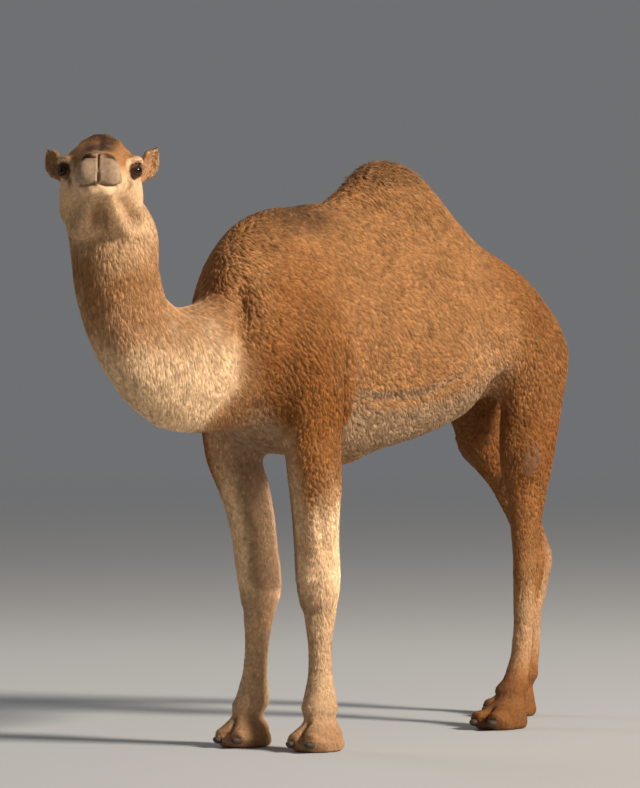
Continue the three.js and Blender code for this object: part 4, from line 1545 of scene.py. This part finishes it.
def body_coat(pelt, coat):
    """Short woolly locks of the barrel, hump, shoulders and thighs."""
    z = pelt.points[:, 2]
    chance = pelt.share("trunk", "hump", "arm", "thigh", "tail") * ramp(z, 0.66, 0.8)
    chance = chance * (1 - ramp(pelt.patches[:, 2], 0.3, 0.85))
    roots = pelt.scatter(chance, coat.body_spacing, coat.seed)
    z = roots.points[:, 2]
    limb = roots.share("arm", "thigh", "tail") * ramp(z, 1.3, 1.0)
    crest = roots.share("hump") * ramp(z, HUMP_TOP - 0.3, HUMP_TOP - 0.02)
    belly = roots.share("trunk") * ramp(z, 1.26, 1.1)
    return grow(
        "coat_body",
        roots,
        long=0.0145 + 0.011 * crest - 0.002 * limb + 0.009 * belly,
        wide=0.0054 - 0.0010 * limb,
        lift=0.0034 + 0.004 * crest - 0.0012 * limb,
        sway=0.5, drift_size=0.03, lock=0.015, pull=0.5, sink=0.001, root=0.5, mottle=0.45,
    )


def neck_coat(pelt, coat):
    """Longer, finer hair that hangs along the neck."""
    chance = pelt.share("neck_base", "neck", "nape")
    return grow(
        "coat_neck",
        pelt.scatter(chance, coat.neck_spacing, coat.seed + 5),
        long=0.019, wide=0.0037, lift=0.0022, sway=0.24, drift_size=0.045, lock=0.012, pull=0.3,
        sink=0.0008, root=0.5, mottle=0.4,
    )


def leg_coat(pelt, coat):
    """Short hair of the lower legs and feet."""
    z = pelt.points[:, 2]
    chance = pelt.share("arm", "thigh", "shin", "foot") * ramp(z, 0.84, 0.7) * ramp(z, 0.012, 0.03)
    roots = pelt.scatter(chance, coat.leg_spacing, coat.seed + 1)
    high = ramp(roots.points[:, 2], 0.1, 0.5)
    return grow(
        "coat_legs",
        roots,
        long=0.009 + 0.005 * high,
        wide=0.0032 + 0.0008 * high,
        lift=0.0013 + 0.0008 * high,
        sway=0.22, drift_size=0.06, lock=0.011, pull=0.3, sink=0.0008, root=0.55, mottle=0.35,
    )


def head_coat(pelt, coat):
    """Short velvet of the face, longer on the cheeks, poll, chin and ears."""
    chance = pelt.share("head", "jaw", "ear")
    for name, side in SIDES:
        _, along, up = round_eye(pelt.points, name, side).T
        chance = chance * ramp(np.hypot(along / 0.024, up / 0.019), 0.95, 1.1)
    u = HEAD.local(pelt.points)[:, 0]
    chance = chance * (1 - 0.45 * ramp(u, 0.1, 0.0) * (1 - pelt.share("ear")).clip(0, 1))
    roots = pelt.scatter(chance, coat.head_spacing, coat.seed + 2)
    u, _, w = HEAD.local(roots.points).T
    ear = roots.share("ear")
    nose = ramp(u, 0.38, 0.45)
    poll = roots.share("head") * ramp(w, 0.09, 0.13)
    back = ramp(u, 0.16, 0.04)
    chin = roots.share("jaw") * ramp(w, -0.09, -0.12)
    brow = eye_surrounds(roots.points)[0]
    long = 0.0055 + 0.005 * (back - ear) + 0.007 * poll + 0.006 * ear + 0.009 * chin
    lift = 0.0007 + 0.0009 * (back - ear) + 0.0022 * poll + 0.0030 * ear + 0.0022 * chin
    return grow(
        "coat_head",
        roots,
        long=long - 0.002 * nose + 0.006 * brow,
        wide=0.0017 + 0.0006 * back + 0.0004 * poll + 0.0005 * ear - 0.0004 * nose,
        lift=lift - 0.0004 * nose + 0.0014 * brow,
        sway=0.24, drift_size=0.03, lock=0.008, pull=0.35, sink=0.0006, root=0.6, mottle=0.15,
    )


def long_locks(pelt, coat):
    """Longer hair: crest of the hump and chin."""
    u, _, w = HEAD.local(pelt.points).T
    crest = (pelt.share("hump") > 0.3) * ramp(pelt.points[:, 2], HUMP_TOP - 0.1, HUMP_TOP - 0.03)
    beard = pelt.share("jaw") * hill(u, 0.43, 0.08) * ramp(w, -0.09, -0.11)
    roots = pelt.scatter(crest + beard * 0.7, 0.011, coat.seed + 3)
    on_crest = ramp(roots.points[:, 2], HUMP_TOP - 0.1, HUMP_TOP - 0.03)
    on_chin = roots.share("jaw")
    return grow(
        "coat_locks",
        roots,
        rings=3,
        long=0.04 - 0.008 * on_crest - 0.020 * on_chin,
        wide=0.0042 - 0.0018 * on_chin,
        lift=0.010 - 0.001 * on_crest - 0.006 * on_chin,
        curl=0.25, sway=0.3, lock=0.02, pull=0.5,
    )


# ------------------------------------------------------------------ the operators


class CAMEL_OT_skin(Operator):
    """Make one skin over the whole body"""

    bl_idname = "camel.skin"
    bl_label = "Skin"

    def execute(self, context):
        clay = finish_skin(context.scene.camel_skin)
        skin = clay.obj
        mesh = skin.data
        settings = {"angle_limit": math.radians(66), "island_margin": 0.001}
        in_edit_mode(skin, lambda: bpy.ops.uv.smart_project(**settings))
        layer = mesh.uv_layers[0]
        layer.name = "unwrap"
        places = column(layer.data, "uv", width=2)
        fill(layer.data, "uv", PATCH + places * (1 - 2 * PATCH))
        fill(mesh.polygons, "use_smooth", np.ones(len(mesh.polygons)), bool)
        pelt = Made.pelt = Pelt(clay)
        covered = 1 - pelt.share("head", "jaw", "shin", "foot", "pad")
        covered = (covered * ramp(clay.points[:, 2], 0.7, 0.95)).clip(0, 1)
        write_attribute(mesh, "marks", pelt.marks)
        write_attribute(mesh, "patches", pelt.patches)
        write_attribute(mesh, "cover", covered)
        attach(skin, Made.finish("skin", skin_finish), FLESH)
        return {"FINISHED"}


class CAMEL_OT_coat(Operator):
    """Grow the coat of mesh tufts over the skin"""

    bl_idname = "camel.coat"
    bl_label = "Coat"

    def execute(self, context):
        if Made.pelt is None:
            raise RuntimeError("make the skin first")
        coat = context.scene.camel_coat
        finish = Made.finish("coat", coat_finish)
        for make in (body_coat, neck_coat, leg_coat, head_coat, long_locks):
            for piece in make(Made.pelt, coat):
                attach(piece, finish)
        return {"FINISHED"}


class CAMEL_OT_tail(Operator):
    """Hang the tuft of long hair on the end of the tail"""

    bl_idname = "camel.tail"
    bl_label = "Tail tuft"

    def execute(self, context):
        rng = np.random.default_rng(context.scene.camel_coat.seed + 9)
        low, high = corner("tail_tuft")
        x, y, _ = (low + high) / 2
        count = 420
        t = rng.random(count) ** 1.3
        angle = rng.uniform(0, 2 * math.pi, count)
        out = np.stack([np.cos(angle), np.sin(angle), np.zeros(count)], 1)
        radius = 0.010 + 0.35 * half_size("tail_tuft")[:2].mean() * t
        points = np.array([x, y, 0]) + out * radius[:, None]
        points[:, 1] += 0.004
        top, bottom = high[2] + 0.06, low[2] + 0.09
        points[:, 2] = top + (bottom - top) * t
        roots = Roots(
            rng,
            points=points,
            normals=out,
            lie=np.tile([0, 0, -1.0], (count, 1)),
            marks=np.tile([0, 0.4, 0.62], (count, 1)),
            unwrap=np.stack([0.02 + 0.96 * t, 0.02 + 0.96 * angle / (2 * math.pi)], 1),
        )
        make = {"curl": 0.12, "rings": 3, "sway": 0.06, "sink": 0.006}
        piece = tufts("tail_tuft_locks", roots, 0.07 + 0.05 * (1 - t), 0.0085, 0.010, **make)
        attach(piece, Made.finish("coat", coat_finish), ["tail_tuft"])
        return {"FINISHED"}


class CAMEL_OT_eyes(Operator):
    """Make the eyeballs, the dark rims of the lids and the lashes"""

    bl_idname = "camel.eyes"
    bl_label = "Eyes"

    def execute(self, context):
        rim_material = Made.finish("rim", rim_finish)
        for name, side in SIDES:
            middle, axes = centre(f"eye_{name}"), eye_axes(side)
            eye = self.ball(name, middle, axes)
            attach(eye, Made.finish("eye", eye_finish), [f"eye_{name}"])
            attach(self.rim(name, middle, axes), rim_material)
            attach(self.lashes(name, middle, axes), rim_material)
        return {"FINISHED"}

    @staticmethod
    def ball(name, middle, axes):
        """The eyeball, with a slight bulge over the iris and a wide, low pupil."""
        clear_selection()
        bpy.ops.mesh.primitive_uv_sphere_add(
            segments=48, ring_count=32, radius=EYE_RADIUS, location=tuple(middle)
        )
        eye = bpy.context.object
        eye.name = eye.data.name = f"eyeball_{name}"
        bpy.ops.object.transform_apply(location=True, rotation=True, scale=True)
        points = points_of(eye.data)
        ahead, along, across = ((points - middle) @ axes.T / EYE_RADIUS).T
        pupil = np.hypot(along / 0.5, across / 0.26) * PUPIL_EDGE
        iris = np.hypot(along, across) / 0.66
        ring = np.where(pupil < PUPIL_EDGE, pupil, np.maximum(iris, PUPIL_EDGE + 0.03))
        write_attribute(eye.data, "ring", ring + np.where(ahead > 0, 0.0, 3.0))
        bulge = np.clip(1 - iris**2, 0, 1) * (ahead > 0) * 0.0012
        move_points(eye.data, points + unit(points - middle) * bulge[:, None])
        bpy.ops.object.shade_smooth()
        return eye

    @staticmethod
    def edge(middle, axes, turns, out=0.0012):
        """Points on the edge of the lids, round the opening, and the ways out of the eye there."""
        x = LID["long"] * np.cos(turns) * 1.02
        y = LID["high"] * np.sin(turns) * (1 - 0.12 * np.cos(turns)) - LID["drop"]
        z = np.sqrt(np.clip((EYE_RADIUS + out) ** 2 - x**2 - y**2, 0, None))
        way = np.stack([z, x, y], 1) @ axes
        return middle + way, unit(way)

    def rim(self, name, middle, axes, around=40, sides=8, thick=0.0031):
        """A rolled lid margin round the opening."""
        turns = np.linspace(0, 2 * math.pi, around, endpoint=False)
        line, out = self.edge(middle, axes, turns)
        ahead = unit(np.roll(line, -1, 0) - np.roll(line, 1, 0))
        across = np.cross(ahead, out)
        spots = []
        for k in range(sides):
            angle = 2 * math.pi * k / sides
            spots.append(line + thick * (math.cos(angle) * across + 0.85 * math.sin(angle) * out))
        index = np.arange(around)[:, None] * sides + np.arange(sides)
        following = np.roll(index, -1, 0)
        faces = np.stack([index, following, np.roll(following, -1, 1), np.roll(index, -1, 1)], 2)
        points = np.stack(spots, 1).reshape(-1, 3)
        piece, _ = mesh_from_arrays(f"lid_rim_{name}", points, [faces.reshape(-1, 4)])
        in_edit_mode(piece, lambda: bpy.ops.mesh.normals_make_consistent(inside=False))
        modify(piece, "SUBSURF", levels=1, render_levels=1)
        return piece

    def lashes(self, name, middle, axes, count=64):
        """Long curved lashes along the upper lid."""
        rng = np.random.default_rng(5)
        turns = np.linspace(0.12, math.pi - 0.2, count) + rng.normal(0, 0.02, count)
        line, out = self.edge(middle, axes, turns, 0.002)
        along = unit(np.outer(np.cos(turns) * 0.5, axes[1]) + axes[2] * -0.15 + out * 0.9)
        roots = Roots(
            rng,
            points=line,
            lie=along,
            normals=unit(axes[2] - along * (along @ axes[2])[:, None]),
            unwrap=np.stack([np.linspace(0.1, 0.9, count), np.full(count, 0.5)], 1),
        )
        make = {"curl": 0.1, "rings": 3, "sway": 0.08, "sink": 0.0}
        return tufts(f"lashes_{name}", roots, 0.017, 0.0009, 0.003, **make)


class CAMEL_OT_nails(Operator):
    """Round off the nails of every toe"""

    bl_idname = "camel.nails"
    bl_label = "Nails"

    def execute(self, context):
        for leg, place in itertools.product(LEGS, ("inner", "outer")):
            node = f"nail_{leg}_{place}"
            nail = copy_of(node, f"horn_{leg}_{place}")
            modify(nail, "SUBSURF", levels=3, render_levels=3)
            low, high = corner(node)
            now = np.array([nail.bound_box[0][:], nail.bound_box[6][:]])
            scale = (high - low) / (now[1] - now[0]) * [1.05, 1.0, 1.05]
            points = (high + low) / 2 + (points_of(nail.data) - now.mean(0)) * scale
            move_points(nail.data, points)
            pick(nail)
            bpy.ops.object.shade_smooth()
            attach(nail, Made.finish("nail", nail_finish), [node])
        return {"FINISHED"}


class CAMEL_OT_stage(Operator):
    """Set the floor, the lights and the camera"""

    bl_idname = "camel.stage"
    bl_label = "Stage"

    def execute(self, context):
        stage = context.scene.camel_stage
        clear_selection()
        bpy.ops.mesh.primitive_circle_add(
            vertices=96, radius=3000, fill_type="NGON", location=(0, 0, -0.0005)
        )
        floor = bpy.context.object
        floor.name = floor.data.name = "floor"
        bpy.ops.object.transform_apply(location=True, rotation=True, scale=True)
        floor.data.materials.append(floor_finish(stage))
        self.camera(stage)
        self.lights(stage)
        self.surround(stage)
        return {"FINISHED"}

    @staticmethod
    def aim(name, data, spot, way):
        """Adds a camera or a lamp at a spot, looking one way."""
        thing = new_object(name, data)
        turn = way.to_track_quat("-Z", "Y").to_matrix().to_4x4()
        thing.matrix_world = Matrix.Translation(spot) @ turn
        return thing

    def camera(self, stage):
        """The camera stands at a person's eye level and looks a little down."""
        right, ahead = stage.ways()
        aim_right, drop = -0.0473, 0.01966  # aim beside the animal's middle, and slope of the view
        spot = ahead * (centre("foot_front_left") @ ahead - stage.distance) + right * aim_right
        spot[2] = stage.eye_height
        data = bpy.data.cameras.new("camera")
        data.lens = stage.lens
        data.sensor_width = 36
        data.clip_end = 5000
        data.dof.use_dof = False
        way = Vector(ahead - np.array([0, 0, drop]))
        bpy.context.scene.camera = self.aim("camera", data, spot, way)

    def lights(self, stage):
        """A large soft key from the camera's right, a weak rim, and a small lamp on one foreleg.

        The lamp brings back a part of the light on the right foreleg, which the left one shades.
        """
        right, ahead = (Vector(way) for way in stage.ways())
        middle = Vector((0, 0.1, 1.1))
        sun = right * 16.7 - ahead * 8.4 + Vector((0, 0, 11.4))
        leg = Vector((*centre("leg_front_right_lower")[:2], KNEE_Z + 0.1))
        beam = leg + right * 1.25 + ahead * 0.15 + Vector((0, 0, 0.1))
        back = middle - right * 4.5 + ahead * 4.0 + Vector((0, 0, 4.4))
        warm, cool = (1.0, 0.93, 0.84), (0.9, 0.95, 1.0)
        plan = (
            ("key", middle + sun, middle, 4.0, 180, 1.0, warm),
            ("rim", back, middle, 3.0, 180, 0.012, cool),
            ("leg_light", beam, leg, 0.4, 17, 0.00009, warm),
        )
        for name, spot, target, size, spread, share, tint in plan:
            data = bpy.data.lights.new(name, "AREA")
            data.size = size
            data.spread = math.radians(spread)
            data.energy = stage.key * share
            data.color = tint
            self.aim(name, data, spot, target - spot).visible_camera = False

    def surround(self, stage):
        """A pale surround that fills the shadows."""
        world = bpy.data.worlds.new("surround")
        world.use_nodes = True
        shade = world.node_tree.nodes["Background"]
        shade.inputs["Color"].default_value = (*SURROUND, 1)
        shade.inputs["Strength"].default_value = stage.fill
        bpy.context.scene.world = world
        bpy.context.scene.view_settings.view_transform = "Standard"


class CAMEL_PT_panel(Panel):
    """Lists the camel's pieces and settings"""

    bl_idname = "CAMEL_PT_panel"
    bl_label = "Camel"
    bl_space_type = "VIEW_3D"
    bl_region_type = "UI"
    bl_category = "Camel"

    def draw(self, context):
        for settings in SETTINGS:
            group = getattr(context.scene, settings)
            for field in group.bl_rna.properties:
                if field.identifier not in ("rna_type", "name"):
                    self.layout.prop(group, field.identifier)
        for operator in OPERATORS:
            self.layout.operator(operator.bl_idname)


SETTINGS = {
    "camel_skin": CamelSkin,
    "camel_coat": CamelCoat,
    "camel_colours": CamelColours,
    "camel_stage": CamelStage,
}
OPERATORS = (
    CAMEL_OT_skin,
    CAMEL_OT_coat,
    CAMEL_OT_tail,
    CAMEL_OT_eyes,
    CAMEL_OT_nails,
    CAMEL_OT_stage,
)
CLASSES = (*SETTINGS.values(), *OPERATORS, CAMEL_PT_panel)


def register():
    for item in CLASSES:
        bpy.utils.register_class(item)
    for name, group in SETTINGS.items():
        setattr(bpy.types.Scene, name, PointerProperty(type=group))


def unregister():
    for name in SETTINGS:
        delattr(bpy.types.Scene, name)
    for item in reversed(CLASSES):
        bpy.utils.unregister_class(item)


def main():
    register()
    for operator in OPERATORS:
        module, name = operator.bl_idname.split(".")
        getattr(getattr(bpy.ops, module), name)()


if __name__ == "__main__":
    main()
